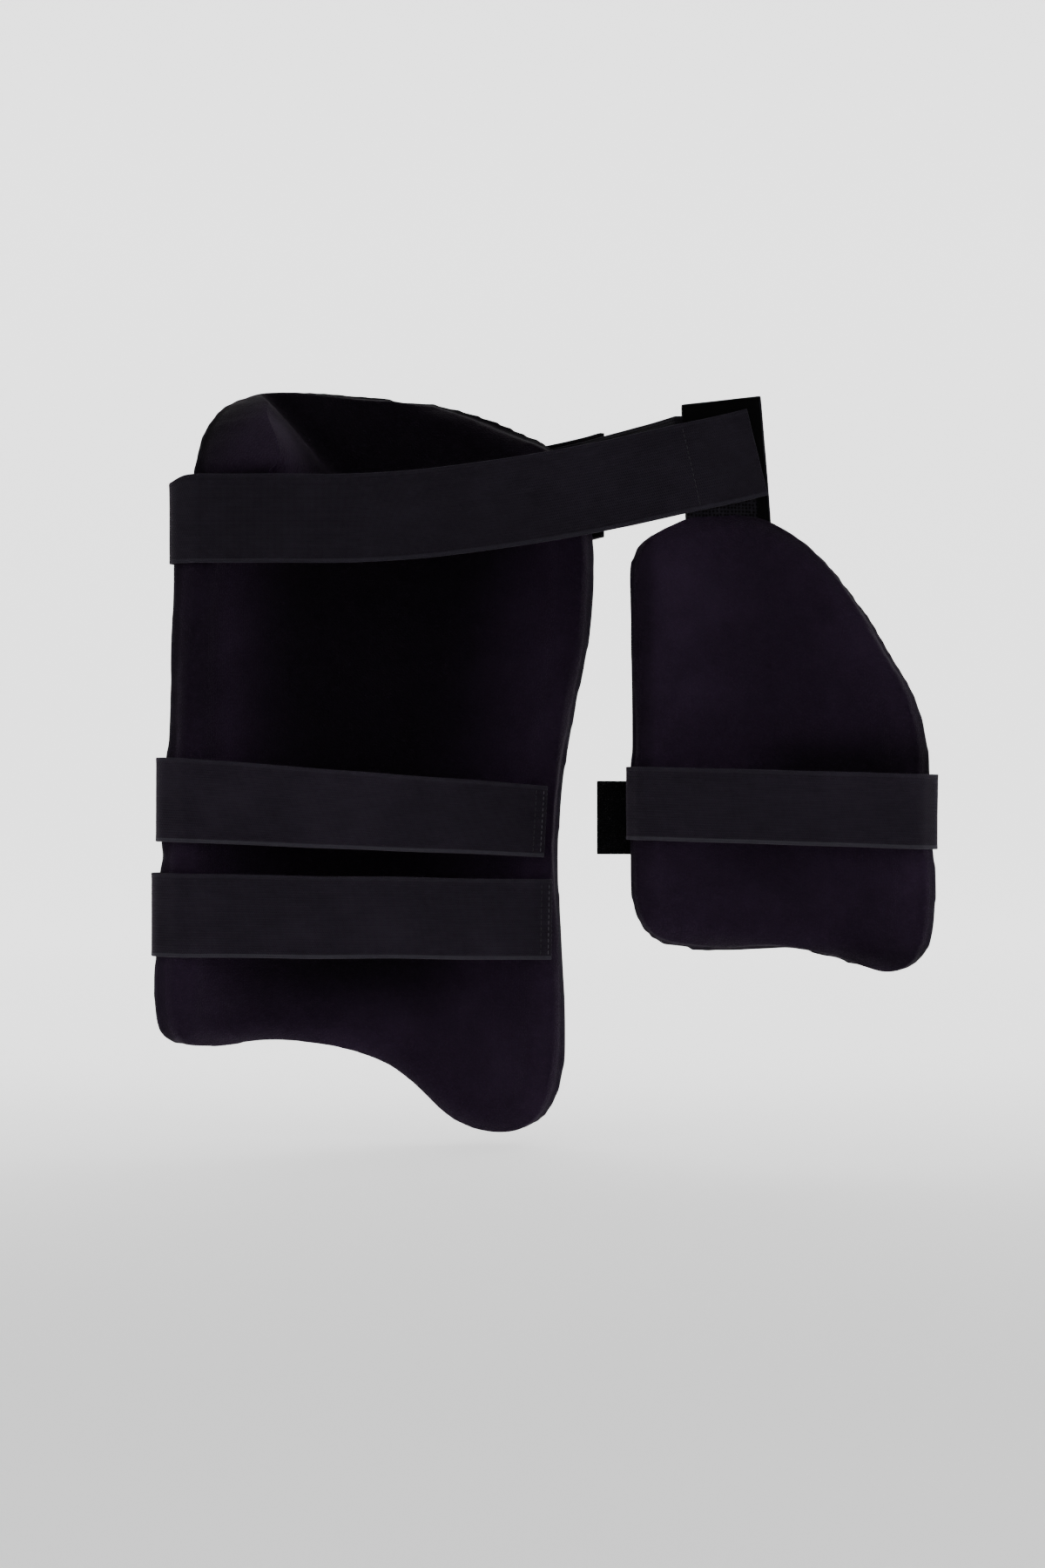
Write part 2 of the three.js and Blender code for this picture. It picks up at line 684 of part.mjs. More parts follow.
// The carrier holds the belt against the outside of the large pad. Its edges turn in over the belt's edges.
function addCarrier() {
  const edge = thighPad.left + thighPad.width;
  const line = partOfLine(waist.rear, edge - carrier.hold, edge + carrier.beyond);
  const positions = [];
  const inside = webbingThickness + seamGap;
  const outside = inside + carrier.thickness;
  line.forEach((p, i) => {
    const along = line[Math.min(i + 1, line.length - 1)].clone().sub(line[Math.max(i - 1, 0)]).normalize();
    const outward = new THREE.Vector2(along.y, -along.x);
    const low = -waistBelt.height / 2 - carrier.below;
    const high = waistBelt.height / 2 + carrier.above;
    const [floor, ceiling] = [low + carrier.thickness, high - carrier.thickness];
    const corners = [
      [low, 0],
      [low, outside],
      [high, outside],
      [high, 0],
      [ceiling, 0],
      [ceiling, inside],
      [floor, inside],
      [floor, 0],
    ];
    corners.forEach(([rise, out]) => {
      const q = p.clone().addScaledVector(outward, out);
      positions.push(q.x, q.y, rearLevel(p) + rise);
    });
  });
  addPiece("belt_carrier", tubeOfCorners(positions, 8), materials.webbing);
}
addCarrier();

export default thighGuard;
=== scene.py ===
import math

import bmesh
import bpy
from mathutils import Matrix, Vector, noise
from mathutils.bvhtree import BVHTree
from mathutils.kdtree import KDTree


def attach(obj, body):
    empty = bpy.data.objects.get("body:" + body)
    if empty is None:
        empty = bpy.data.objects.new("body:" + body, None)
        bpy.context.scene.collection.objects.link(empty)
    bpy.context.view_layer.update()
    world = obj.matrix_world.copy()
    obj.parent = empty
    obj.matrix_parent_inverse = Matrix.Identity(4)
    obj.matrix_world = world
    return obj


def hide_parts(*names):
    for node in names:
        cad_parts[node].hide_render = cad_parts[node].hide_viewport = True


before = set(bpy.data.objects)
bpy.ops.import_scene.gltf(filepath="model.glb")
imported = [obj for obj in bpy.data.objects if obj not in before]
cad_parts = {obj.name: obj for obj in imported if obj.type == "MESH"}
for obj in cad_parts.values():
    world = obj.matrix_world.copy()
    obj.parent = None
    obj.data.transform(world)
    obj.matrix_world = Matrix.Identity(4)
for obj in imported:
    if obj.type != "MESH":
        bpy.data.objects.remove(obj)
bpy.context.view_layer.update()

MM = 0.001
SCENE = bpy.context.scene

# ---------------------------------------------------------------- the maker's sizes
REMESH_SIZE = 3.7 * MM        # of the foam layers before they are filled
FOAM_SWELL = 2.2 * MM         # most that the filled foam may stand out from the solid
STRAP_THICKNESS = 1.35 * MM
SELVEDGE_WIDTH = 2.2 * MM     # the firmer woven edge of an elastic
BAND_STEP = 2.6 * MM          # between a band's columns of faces
STITCH_LENGTH = 2.3 * MM
STITCH_PITCH = 3.1 * MM
STITCH_MARGIN = 2.4 * MM      # between a band's edge and a row of stitches across it
STITCH_PROUD = STRAP_THICKNESS / 2 + 0.32 * MM   # from a band's middle, where its hem is doubled
THREAD_THICKNESS = 0.5 * MM
FLOOR_LEVEL = -0.3605
PAPER_RADIUS = 2.6            # of the flat paper, before it curves up
PAPER_CURVE = 1.1             # radius of that curve
PAPER_WALL = 3.6
PAPER_CURVE_STEPS = 8
CLOTH_FRAMES = 12
CLOTH_PRESSURE = 3.0
SEAM_DRAW = 0.7 * MM          # how far a seam draws the pad's cloth in
SEAM_WIDTH = 1.7 * MM
SEAM_RINGS = 3, 4             # the rings of a shell's open face that a seam runs between
SEAM_SHARE = 0.45             # how far from the first to the second
SEAM_REACH = 6 * MM
HANGER_EDGE = 165.4 * MM      # where the hanger's right edge crosses height 0
HANGER_LEAN = -0.085          # how far that edge leans for each metre up
HEM_DOUBLING = 0.25 * MM      # how far a doubled hem stands out

# The middle, in plan, of the thigh that each pad is moulded round, and the large pad's own measures
THIGH_AXIS = (-36.6 * MM, -99.1 * MM)
INNER_AXIS = (158.6 * MM, -155.9 * MM)
THIGH_TOP_RADIUS = 139.6 * MM     # of its back, at the top
THIGH_BOTTOM = 355 * MM
THIGH_HEIGHT = 425 * MM
THIGH_WIDTH = 226 * MM
LINER_FACE_RADIUS = 127.9 * MM    # of its body side, at the top


# ---------------------------------------------------------------- camera, light and floor
def set_up_camera():
    bpy.ops.object.camera_add(location=(0.0288, -1.842, -0.156), rotation=(math.radians(90), 0, 0))
    camera = bpy.context.object
    camera.name = "photo_camera"
    camera.data.lens = 75
    camera.data.sensor_width = 36
    camera.data.clip_end = 30
    SCENE.camera = camera


def add_soft_light(name, place, aim, size, power, tint=(1, 1, 1)):
    bpy.ops.object.light_add(type="AREA", location=place)
    lamp = bpy.context.object
    lamp.name = name
    lamp.data.shape = "RECTANGLE"
    lamp.data.size, lamp.data.size_y = size
    lamp.data.energy = power
    lamp.data.color = tint
    lamp.rotation_euler = (Vector(aim) - Vector(place)).to_track_quat("-Z", "Y").to_euler()


def set_up_lights():
    add_soft_light("low_bounce_card", (-0.1, -2.3, -0.30), (0.0, 0.0, -0.28), (2.6, 0.5), 8)
    add_soft_light("window_left", (-1.5, -1.0, 0.3), (-0.1, 0.0, -0.2), (0.7, 1.4), 3)
    add_soft_light("window_right", (1.6, -1.0, 0.0), (0.2, 0.0, -0.2), (0.7, 1.4), 10)
    add_soft_light("sky_panel", (0.0, -0.6, 1.7), (0.0, 0.05, -0.2), (1.8, 0.8), 5)
    world = bpy.data.worlds.new("studio_air")
    SCENE.world = world
    world.use_nodes = True
    sky = world.node_tree.nodes.get("Background")
    sky.inputs["Color"].default_value = (1.0, 1.0, 1.0, 1)
    sky.inputs["Strength"].default_value = 0.12


# ---------------------------------------------------------------- working by hand
def clear_selection():
    if bpy.context.object and bpy.context.object.mode != "OBJECT":
        bpy.ops.object.mode_set(mode="OBJECT")
    bpy.ops.object.select_all(action="DESELECT")


def take_up(piece):
    clear_selection()
    piece.hide_set(False)
    piece.select_set(True)
    bpy.context.view_layer.objects.active = piece


def name_it(piece, name):
    piece.name = name
    piece.data.name = name
    return piece


def apply_all(piece):
    take_up(piece)
    for modifier in list(piece.modifiers):
        bpy.ops.object.modifier_apply(modifier=modifier.name)


def lay_down(piece):
    """The piece keeps its place in its mesh, and its object goes back to the origin."""
    take_up(piece)
    bpy.ops.object.transform_apply(location=True, rotation=True, scale=True)


def smooth_by_angle(piece, degrees=40):
    take_up(piece)
    bpy.ops.object.shade_smooth_by_angle(angle=math.radians(degrees))


def smoothstep(low, high, value):
    t = min(max((value - low) / (high - low), 0.0), 1.0)
    return t * t * (3 - 2 * t)


def tree_of(*nodes):
    """Something to measure distances to CAD nodes with."""
    bm = bmesh.new()
    for node in nodes:
        bm.from_mesh(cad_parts[node].data)
    tree = BVHTree.FromBMesh(bm)
    bm.free()
    return tree


# ---------------------------------------------------------------- effects that several materials use
class Bench:
    """A node tree being wired: nodes are laid in rows from left to right."""

    def __init__(self, tree):
        self.tree = tree
        self.count = 0

    def add(self, kind, **settings):
        node = self.tree.nodes.new(kind)
        node.location = (220 * (self.count % 8), -260 * (self.count // 8))
        self.count += 1
        for key, value in settings.items():
            setattr(node, key, value)
        return node

    def feed(self, socket, value):
        if isinstance(value, bpy.types.NodeSocket):
            self.tree.links.new(value, socket)
        elif value is not None:
            socket.default_value = value

    def calc(self, operation, first, second=None, clamp=False):
        node = self.add("ShaderNodeMath", operation=operation, use_clamp=clamp)
        self.feed(node.inputs[0], first)
        self.feed(node.inputs[1], second)
        return node.outputs[0]

    def spread(self, value, low, high, to_low=0.0, to_high=1.0):
        node = self.add("ShaderNodeMapRange", interpolation_type="SMOOTHSTEP")
        for slot, setting in zip(node.inputs[:5], (value, low, high, to_low, to_high)):
            self.feed(slot, setting)
        return node.outputs["Result"]

    def mottle(self, vector, scale, detail=3.0, roughness=0.55):
        node = self.add("ShaderNodeTexNoise")
        self.feed(node.inputs["Vector"], vector)
        self.feed(node.inputs["Scale"], scale)
        node.inputs["Detail"].default_value = detail
        node.inputs["Roughness"].default_value = roughness
        return node.outputs["Fac"]

    def two_tones(self, mask, first, second):
        node = self.add("ShaderNodeMix", data_type="RGBA")
        self.feed(node.inputs["Factor"], mask)
        self.feed(node.inputs["A"], first)
        self.feed(node.inputs["B"], second)
        return node.outputs["Result"]

    def effect(self, group, **values):
        node = self.add("ShaderNodeGroup", node_tree=group)
        for key, value in values.items():
            self.feed(node.inputs[key.replace("_", " ")], value)
        return node.outputs


def new_effect(name, takes, gives):
    group = bpy.data.node_groups.new(name, "ShaderNodeTree")
    for label, kind, value in takes:
        socket = group.interface.new_socket(name=label, in_out="INPUT", socket_type=kind)
        if value is not None:
            socket.default_value = value
    for label, kind in gives:
        group.interface.new_socket(name=label, in_out="OUTPUT", socket_type=kind)
    bench = Bench(group)
    entry = bench.add("NodeGroupInput")
    leave = bench.add("NodeGroupOutput")
    return group, bench, entry.outputs, leave.inputs


def make_knit():
    """Fine brushed jersey: small uneven loops, and soft clouds where the nap lies differently."""
    group, bench, takes, gives = new_effect(
        "jersey_knit",
        [("Place", "NodeSocketVector", None), ("Loop", "NodeSocketFloat", 0.0009)],
        [("Height", "NodeSocketFloat"), ("Shade", "NodeSocketFloat")],
    )
    loops = bench.add("ShaderNodeTexVoronoi", feature="F1")
    bench.feed(loops.inputs["Vector"], takes["Place"])
    bench.feed(loops.inputs["Scale"], bench.calc("DIVIDE", 1.0, takes["Loop"]))
    loops.inputs["Randomness"].default_value = 0.75
    height = bench.spread(loops.outputs["Distance"], 0.7, 0.1)
    nap = bench.mottle(takes["Place"], 420.0, 3.0)
    cloud = bench.mottle(takes["Place"], 30.0, 4.0)
    bench.feed(gives["Height"], bench.calc("ADD", height, bench.calc("MULTIPLY", nap, 0.8)))
    fine = bench.calc("ADD", bench.calc("MULTIPLY", height, 0.25), bench.calc("MULTIPLY", nap, 0.3))
    bench.feed(gives["Shade"], bench.calc("ADD", fine, bench.calc("MULTIPLY", cloud, 0.45)))
    return group


def make_rib_weave():
    """Woven elastic: fine ribs along its length, crossed by the rubber cores' gathers."""
    group, bench, takes, gives = new_effect(
        "rib_weave",
        [("Along", "NodeSocketFloat", 0.0), ("Across", "NodeSocketFloat", 0.0),
         ("Rib", "NodeSocketFloat", 0.0013), ("Gather", "NodeSocketFloat", 0.0011)],
        [("Height", "NodeSocketFloat"), ("Shade", "NodeSocketFloat")],
    )
    place = bench.add("ShaderNodeCombineXYZ")
    bench.feed(place.inputs[0], takes["Along"])
    bench.feed(place.inputs[1], takes["Across"])
    wander = bench.mottle(place.outputs[0], 420.0, 2.0)
    lines = bench.calc("DIVIDE", takes["Across"], takes["Rib"])
    rib = bench.calc("ABSOLUTE", bench.calc("SINE", bench.calc("MULTIPLY", lines, math.pi)))
    step = bench.calc("MULTIPLY", bench.calc("FLOOR", lines), math.pi)
    gathers = bench.calc("MULTIPLY", bench.calc("DIVIDE", takes["Along"], takes["Gather"]), 2 * math.pi)
    phase = bench.calc("ADD", bench.calc("ADD", gathers, step), bench.calc("MULTIPLY", wander, 3.0))
    wave = bench.calc("MULTIPLY", bench.calc("ADD", bench.calc("SINE", phase), 1.0), 0.2)
    height = bench.calc("ADD", bench.calc("MULTIPLY", rib, 0.6), wave)
    stretched = bench.add("ShaderNodeCombineXYZ")
    bench.feed(stretched.inputs[0], bench.calc("MULTIPLY", takes["Along"], 70.0))
    bench.feed(stretched.inputs[1], bench.calc("MULTIPLY", takes["Across"], 240.0))
    streak = bench.mottle(stretched.outputs[0], 1.0, 5.0, 0.65)
    bench.feed(gives["Height"], height)
    shade = bench.calc("ADD", bench.calc("MULTIPLY", height, 0.45), bench.calc("MULTIPLY", streak, 0.55))
    bench.feed(gives["Shade"], shade)
    return group


def make_wear():
    """Lint and handling marks: soft clouds with sparse lighter specks."""
    group, bench, takes, gives = new_effect(
        "lint_and_rub",
        [("Place", "NodeSocketVector", None), ("Amount", "NodeSocketFloat", 0.5),
         ("Fine", "NodeSocketFloat", 900.0)],
        [("Mask", "NodeSocketFloat")],
    )
    cloud = bench.spread(bench.mottle(takes["Place"], 22.0, 5.0), 0.42, 0.72)
    specks = bench.spread(bench.mottle(takes["Place"], takes["Fine"], 1.0), 0.66, 0.78)
    mask = bench.calc("ADD", bench.calc("MULTIPLY", cloud, 0.6), bench.calc("MULTIPLY", specks, 0.5))
    bench.feed(gives["Mask"], bench.calc("MULTIPLY", mask, takes["Amount"], clamp=True))
    return group


def make_edge_line():
    """A line beside an edge: 1 across its width, then a short soft end."""
    group, bench, takes, gives = new_effect(
        "edge_line",
        [("Distance", "NodeSocketFloat", 0.0), ("Width", "NodeSocketFloat", 0.002)],
        [("Mask", "NodeSocketFloat")],
    )
    share = bench.calc("DIVIDE", takes["Distance"], takes["Width"])
    bench.feed(gives["Mask"], bench.spread(share, 1.15, 0.85))
    return group


# ---------------------------------------------------------------- materials
def new_material(name):
    material = bpy.data.materials.new(name)
    material.use_nodes = True
    tree = material.node_tree
    tree.nodes.clear()
    bench = Bench(tree)
    out = bench.add("ShaderNodeOutputMaterial")
    shader = bench.add("ShaderNodeBsdfPrincipled")
    tree.links.new(shader.outputs["BSDF"], out.inputs["Surface"])
    return material, bench, shader.inputs


def settle(sockets, roughness, sheen=0.0, sheen_roughness=0.5, sheen_tint=(1, 1, 1, 1), specular=0.3):
    sockets["Roughness"].default_value = roughness
    sockets["Sheen Weight"].default_value = sheen
    sockets["Sheen Roughness"].default_value = sheen_roughness
    sockets["Sheen Tint"].default_value = sheen_tint
    sockets["Specular IOR Level"].default_value = specular


def add_relief(bench, sockets, height, distance, strength=1.0):
    bump = bench.add("ShaderNodeBump")
    bump.inputs["Strength"].default_value = strength
    bump.inputs["Distance"].default_value = distance
    bench.feed(bump.inputs["Height"], height)
    bench.feed(sockets["Normal"], bump.outputs["Normal"])


def make_pad_cloth(name, dark, light, loop, relief, roughness, sheen, tint, lint):
    """Brushed cloth over foam. Where the pad's point attribute of painted shade is high, the colour is
    darkened towards black: painted shade in the hollow and in shadowed bands.
    """
    material, bench, sockets = new_material(name)
    settle(sockets, roughness, sheen, sheen_tint=tint, specular=0.04)
    place = bench.add("ShaderNodeTexCoord").outputs["Object"]
    knit = bench.effect(KNIT, Place=place, Loop=loop)
    rub = bench.effect(WEAR, Place=place, Amount=lint)
    cloth = bench.two_tones(knit["Shade"], dark, light)
    dusty = bench.two_tones(rub["Mask"], cloth, tuple(min(c * 2.2 + 0.002, 1) for c in light[:3]) + (1,))
    painted_shade = bench.add("ShaderNodeAttribute", attribute_name="painted_shade")
    # painted shade: up to 93% of the way to a third of the dark tone
    deep = bench.calc("MULTIPLY", painted_shade.outputs["Fac"], 0.93)
    bench.feed(sockets["Base Color"], bench.two_tones(deep, dusty, tuple(c * 0.3 for c in dark[:3]) + (1,)))
    gloss = bench.spread(knit["Shade"], 0.0, 1.0, roughness + 0.06, roughness - 0.08)
    bench.feed(sockets["Roughness"], gloss)
    swell = bench.mottle(place, 16.0, 3.0)
    height = bench.calc("ADD", knit["Height"], bench.calc("MULTIPLY", swell, 3.0))
    add_relief(bench, sockets, height, relief)
    return material


def make_elastic(name, dark, light, rib, selvedge, relief, roughness=0.8, sheen=0.05):
    material, bench, sockets = new_material(name)
    settle(sockets, roughness, sheen, 0.45, (0.95, 0.82, 1.0, 1), 0.04)
    laid = bench.add("ShaderNodeUVMap", uv_map="laid").outputs[0]
    parts = bench.add("ShaderNodeSeparateXYZ")
    bench.feed(parts.inputs[0], laid)
    edge = bench.add("ShaderNodeAttribute", attribute_name="from_edge")
    weave = bench.effect(RIBS, Along=parts.outputs[0], Across=parts.outputs[1], Rib=rib)
    border = bench.effect(EDGE, Distance=edge.outputs["Fac"], Width=SELVEDGE_WIDTH)
    place = bench.add("ShaderNodeTexCoord").outputs["Object"]
    rub = bench.effect(WEAR, Place=place, Amount=0.3, Fine=1300.0)
    cloth = bench.two_tones(weave["Shade"], dark, light)
    lower = bench.spread(parts.outputs[1], 0.002, -0.002, 0.25, 1.0)
    bordered = bench.two_tones(bench.calc("MULTIPLY", border["Mask"], lower), cloth, selvedge)
    worn = bench.two_tones(rub["Mask"], bordered, tuple(c * 1.9 for c in light[:3]) + (1,))
    bench.feed(sockets["Base Color"], worn)
    gloss = bench.spread(weave["Shade"], 0.0, 1.0, roughness + 0.1, roughness - 0.06)
    bench.feed(sockets["Roughness"], gloss)
    height = bench.calc("ADD", weave["Height"], bench.calc("MULTIPLY", border["Mask"], 0.8))
    add_relief(bench, sockets, height, relief)
    return material


def make_air_mesh():
    """The hanger's spacer mesh: small holes in a knitted face, plain at the top and down the right edge."""
    material, bench, sockets = new_material("air_mesh")
    settle(sockets, 0.8, specular=0.02)
    laid = bench.add("ShaderNodeUVMap", uv_map="laid").outputs[0]
    holes = bench.add("ShaderNodeTexVoronoi", feature="F1", voronoi_dimensions="2D")
    bench.feed(holes.inputs["Vector"], laid)
    holes.inputs["Scale"].default_value = 500.0
    holes.inputs["Randomness"].default_value = 0.3
    parts = bench.add("ShaderNodeSeparateXYZ")
    bench.feed(parts.inputs[0], laid)
    lean = bench.calc("MULTIPLY", parts.outputs[1], HANGER_LEAN)
    gap = bench.calc("SUBTRACT", bench.calc("ADD", lean, HANGER_EDGE), parts.outputs[0])
    top = bench.spread(parts.outputs[1], 0.022, 0.030)
    binding = bench.calc("MAXIMUM", bench.spread(gap, 0.0078, 0.0070), top)
    web = bench.calc("MAXIMUM", bench.spread(holes.outputs["Distance"], 0.22, 0.38), binding)
    place = bench.add("ShaderNodeTexCoord").outputs["Object"]
    rub = bench.effect(WEAR, Place=place, Amount=0.35, Fine=1100.0)
    tone = bench.two_tones(web, (0.0004, 0.0004, 0.0005, 1), (0.0058, 0.0053, 0.0070, 1))
    rubbed = bench.two_tones(rub["Mask"], tone, (0.0085, 0.0078, 0.0098, 1))
    bound = bench.two_tones(binding, rubbed, (0.0004, 0.0004, 0.0005, 1))
    # painted highlight: a thin lighter line down the right edge, where its round catches the light
    edge = bench.spread(gap, 0.0012, 0.0005)
    bench.feed(sockets["Base Color"], bench.two_tones(edge, bound, (0.010, 0.0095, 0.012, 1)))
    bench.feed(sockets["Roughness"], bench.spread(web, 0.0, 1.0, 0.9, 0.62))
    add_relief(bench, sockets, web, 0.0005)
    return material


def make_hook_tape():
    """The tail's fastening side: a dense field of short hooks."""
    material, bench, sockets = new_material("hook_tape")
    settle(sockets, 0.62, 0.02, 0.5, (1, 1, 1, 1), 0.03)
    laid = bench.add("ShaderNodeUVMap", uv_map="laid").outputs[0]
    hooks = bench.add("ShaderNodeTexVoronoi", feature="F1", voronoi_dimensions="2D")
    bench.feed(hooks.inputs["Vector"], laid)
    hooks.inputs["Scale"].default_value = 900.0
    hooks.inputs["Randomness"].default_value = 0.55
    tips = bench.spread(hooks.outputs["Distance"], 0.45, 0.1)
    tone = bench.two_tones(tips, (0.0006, 0.0006, 0.0007, 1), (0.0022, 0.0022, 0.0026, 1))
    bench.feed(sockets["Base Color"], tone)
    bench.feed(sockets["Roughness"], bench.spread(tips, 0.0, 1.0, 0.85, 0.55))
    add_relief(bench, sockets, tips, 0.0004)
    return material


def make_thread(name, dark, light):
    material, bench, sockets = new_material(name)
    settle(sockets, 0.7, 0.08, 0.4, (1, 1, 1, 1), 0.12)
    place = bench.add("ShaderNodeTexCoord").outputs["Object"]
    twist = bench.add("ShaderNodeTexWave", wave_type="BANDS", bands_direction="DIAGONAL")
    bench.feed(twist.inputs["Vector"], place)
    twist.inputs["Scale"].default_value = 900.0
    twist.inputs["Distortion"].default_value = 0.6
    bench.feed(sockets["Base Color"], bench.two_tones(twist.outputs["Fac"], dark, light))
    add_relief(bench, sockets, twist.outputs["Fac"], 0.0001)
    return material


def make_paper():
    material, bench, sockets = new_material("studio_paper")
    settle(sockets, 0.9, specular=0.1)
    place = bench.add("ShaderNodeTexCoord").outputs["Object"]
    tone = bench.mottle(place, 3.0, 2.0)
    bench.feed(sockets["Base Color"], bench.two_tones(tone, (0.86, 0.86, 0.86, 1), (0.89, 0.89, 0.89, 1)))
    # The paper glows, faint at the front and full towards the back: painted light, which also lights the
    # object from behind and below.
    parts = bench.add("ShaderNodeSeparateXYZ")
    bench.feed(parts.inputs[0], place)
    lit = bench.spread(parts.outputs[1], -0.8, 0.7)
    bench.feed(sockets["Emission Color"], bench.two_tones(lit, (0.08, 0.08, 0.08, 1), (1, 1, 1, 1)))
    sockets["Emission Strength"].default_value = 1.25
    return material


KNIT = make_knit()
RIBS = make_rib_weave()
WEAR = make_wear()
EDGE = make_edge_line()
LINING = make_pad_cloth("pad_lining_jersey", (0.0040, 0.0022, 0.0052, 1), (0.0125, 0.0070, 0.0160, 1),
                        0.0011, 0.00020, 0.84, 0.01, (0.95, 0.72, 1.0, 1), 0.22)
COVER = make_pad_cloth("pad_cover_nylon", (0.0034, 0.0020, 0.0044, 1), (0.0105, 0.0062, 0.0135, 1),
                       0.0008, 0.00014, 0.84, 0.0, (0.95, 0.78, 1.0, 1), 0.18)
ELASTIC = make_elastic("strap_elastic", (0.0036, 0.0028, 0.0046, 1), (0.0110, 0.0086, 0.0134, 1), 0.00135,
                       (0.020, 0.0185, 0.0235, 1), 0.00026)
BELT_ELASTIC = make_elastic("belt_elastic", (0.0028, 0.0023, 0.0036, 1), (0.0088, 0.0071, 0.0108, 1), 0.00155,
                            (0.0115, 0.0102, 0.0140, 1), 0.00028)
# a darker copy of the belt elastic: painted shade for the belt's run behind the pads
SHADED_REAR_ELASTIC = make_elastic("belt_elastic_rear_shaded", (0.0012, 0.0011, 0.0015, 1), (0.0040, 0.0037, 0.0050, 1),
                            0.00155, (0.007, 0.0066, 0.008, 1), 0.00028)
AIR_MESH = make_air_mesh()
HOOK_TAPE = make_hook_tape()
WEBBING = make_elastic("black_webbing", (0.0010, 0.0010, 0.0013, 1), (0.0036, 0.0034, 0.0044, 1), 0.0021,
                       (0.0060, 0.0057, 0.0070, 1), 0.0003)
THREAD = make_thread("grey_thread", (0.020, 0.019, 0.023, 1), (0.055, 0.052, 0.062, 1))
DARK_THREAD = make_thread("black_thread", (0.0016, 0.0014, 0.0020, 1), (0.0050, 0.0045, 0.0060, 1))
PAPER = make_paper()


# ---------------------------------------------------------------- foam pads in their cloth
def copy_of_node(node, name):
    """A loose copy of a CAD solid, merged into one closed skin of quads."""
    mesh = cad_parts[node].data.copy()
    mesh.materials.clear()
    piece = bpy.data.objects.new(name, mesh)
    SCENE.collection.objects.link(piece)
    take_up(piece)
    bpy.ops.object.mode_set(mode="EDIT")
    bpy.ops.mesh.select_all(action="SELECT")
    bpy.ops.mesh.remove_doubles(threshold=0.00001)
    bpy.ops.mesh.tris_convert_to_quads(face_threshold=math.radians(60), shape_threshold=math.radians(80))
    bpy.ops.object.mode_set(mode="OBJECT")
    return name_it(piece, name)


def round_off(piece, levels):
    modifier = piece.modifiers.new("round", "SUBSURF")
    modifier.levels = modifier.render_levels = levels
    apply_all(piece)


def remesh(piece, size, rounds):
    """An even grid over the layer, drawn back onto its form after the grid's steps are smoothed away."""
    form = bpy.data.objects.new("form", piece.data.copy())
    SCENE.collection.objects.link(form)
    modifier = piece.modifiers.new("foam_grid", "REMESH")
    modifier.mode = "VOXEL"
    modifier.voxel_size = size
    modifier.adaptivity = 0
    even = piece.modifiers.new("even_out", "SMOOTH")
    even.factor = 0.5
    even.iterations = rounds
    draw_back = piece.modifiers.new("draw_back", "SHRINKWRAP")
    draw_back.target = form
    draw_back.wrap_method = "NEAREST_SURFACEPOINT"
    last = piece.modifiers.new("last_smooth", "SMOOTH")
    last.factor = 0.5
    last.iterations = 2
    apply_all(piece)
    bpy.data.objects.remove(form)


def fill_with_air(piece, pressure, frames):
    """Cloth with pressure, stepped a few frames and applied, so that nothing live is left."""
    start = [v.co.copy() for v in piece.data.vertices]
    take_up(piece)
    modifier = piece.modifiers.new("filling", "CLOTH")
    cloth = modifier.settings
    cloth.quality = 4
    cloth.mass = 0.25
    cloth.tension_stiffness = cloth.compression_stiffness = 12
    cloth.shear_stiffness = 6
    cloth.bending_stiffness = 0.6
    cloth.use_pressure = True
    cloth.uniform_pressure_force = pressure
    cloth.effector_weights.gravity = 0
    modifier.collision_settings.use_collision = False
    modifier.point_cache.frame_start = 1
    modifier.point_cache.frame_end = frames
    for step in range(1, frames + 1):
        SCENE.frame_set(step)
    bpy.ops.object.modifier_apply(modifier=modifier.name)
    SCENE.frame_set(1)
    return start


def settle_foam(piece, start, straps, cap):
    """How far the filled cloth may stand out from the form: hardly at all under a strap."""
    pressed = tree_of(*straps)
    for index, vertex in enumerate(piece.data.vertices):
        rest = start[index]
        move = vertex.co - rest
        if move.length > cap:
            move *= cap / move.length
        vertex.co = rest + move * smoothstep(1.0 * MM, 9.0 * MM, pressed.find_nearest(rest)[3])


def wall_tree(nodes, axis):
    """The layers' side walls, round their outline. axis is the middle, in plan, of the thigh they go round."""
    bm = bmesh.new()
    for node in nodes:
        bm.from_mesh(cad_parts[node].data)
    bm.normal_update()
    faces = []
    for face in bm.faces:
        middle = face.calc_center_median()
        out = Vector((middle.x - axis[0], middle.y - axis[1], 0)).normalized()
        if abs(face.normal.dot(out)) > 0.33:
            faces.append(face)
    bmesh.ops.delete(bm, geom=faces, context="FACES")
    tree = BVHTree.FromBMesh(bm)
    bm.free()
    return tree


def round_the_rim(piece, nodes, axis, reach, depth):
    """The foam rolls away towards its outline on the body side: depth at the edge, nothing past reach."""
    walls = wall_tree(nodes, axis)
    normals = [v.normal.copy() for v in piece.data.vertices]
    for vertex, normal in zip(piece.data.vertices, normals):
        out = Vector((vertex.co.x - axis[0], vertex.co.y - axis[1], 0)).normalized()
        facing = smoothstep(0.1, 0.8, -normal.dot(out))
        if facing > 0:
            gap = walls.find_nearest(vertex.co)[3]
            share = max(1.0 - gap / reach, 0.0)
            vertex.co += out * depth * share ** 2.2 * facing


def ease_surface(piece):
    """Small unevenness of cloth over foam."""
    normals = [v.normal.copy() for v in piece.data.vertices]
    for vertex, normal in zip(piece.data.vertices, normals):
        place = vertex.co
        lift = 0.22 * MM * noise.noise(place * 34.0) + 0.1 * MM * noise.noise(place * 110.0)
        vertex.co = place + normal * lift


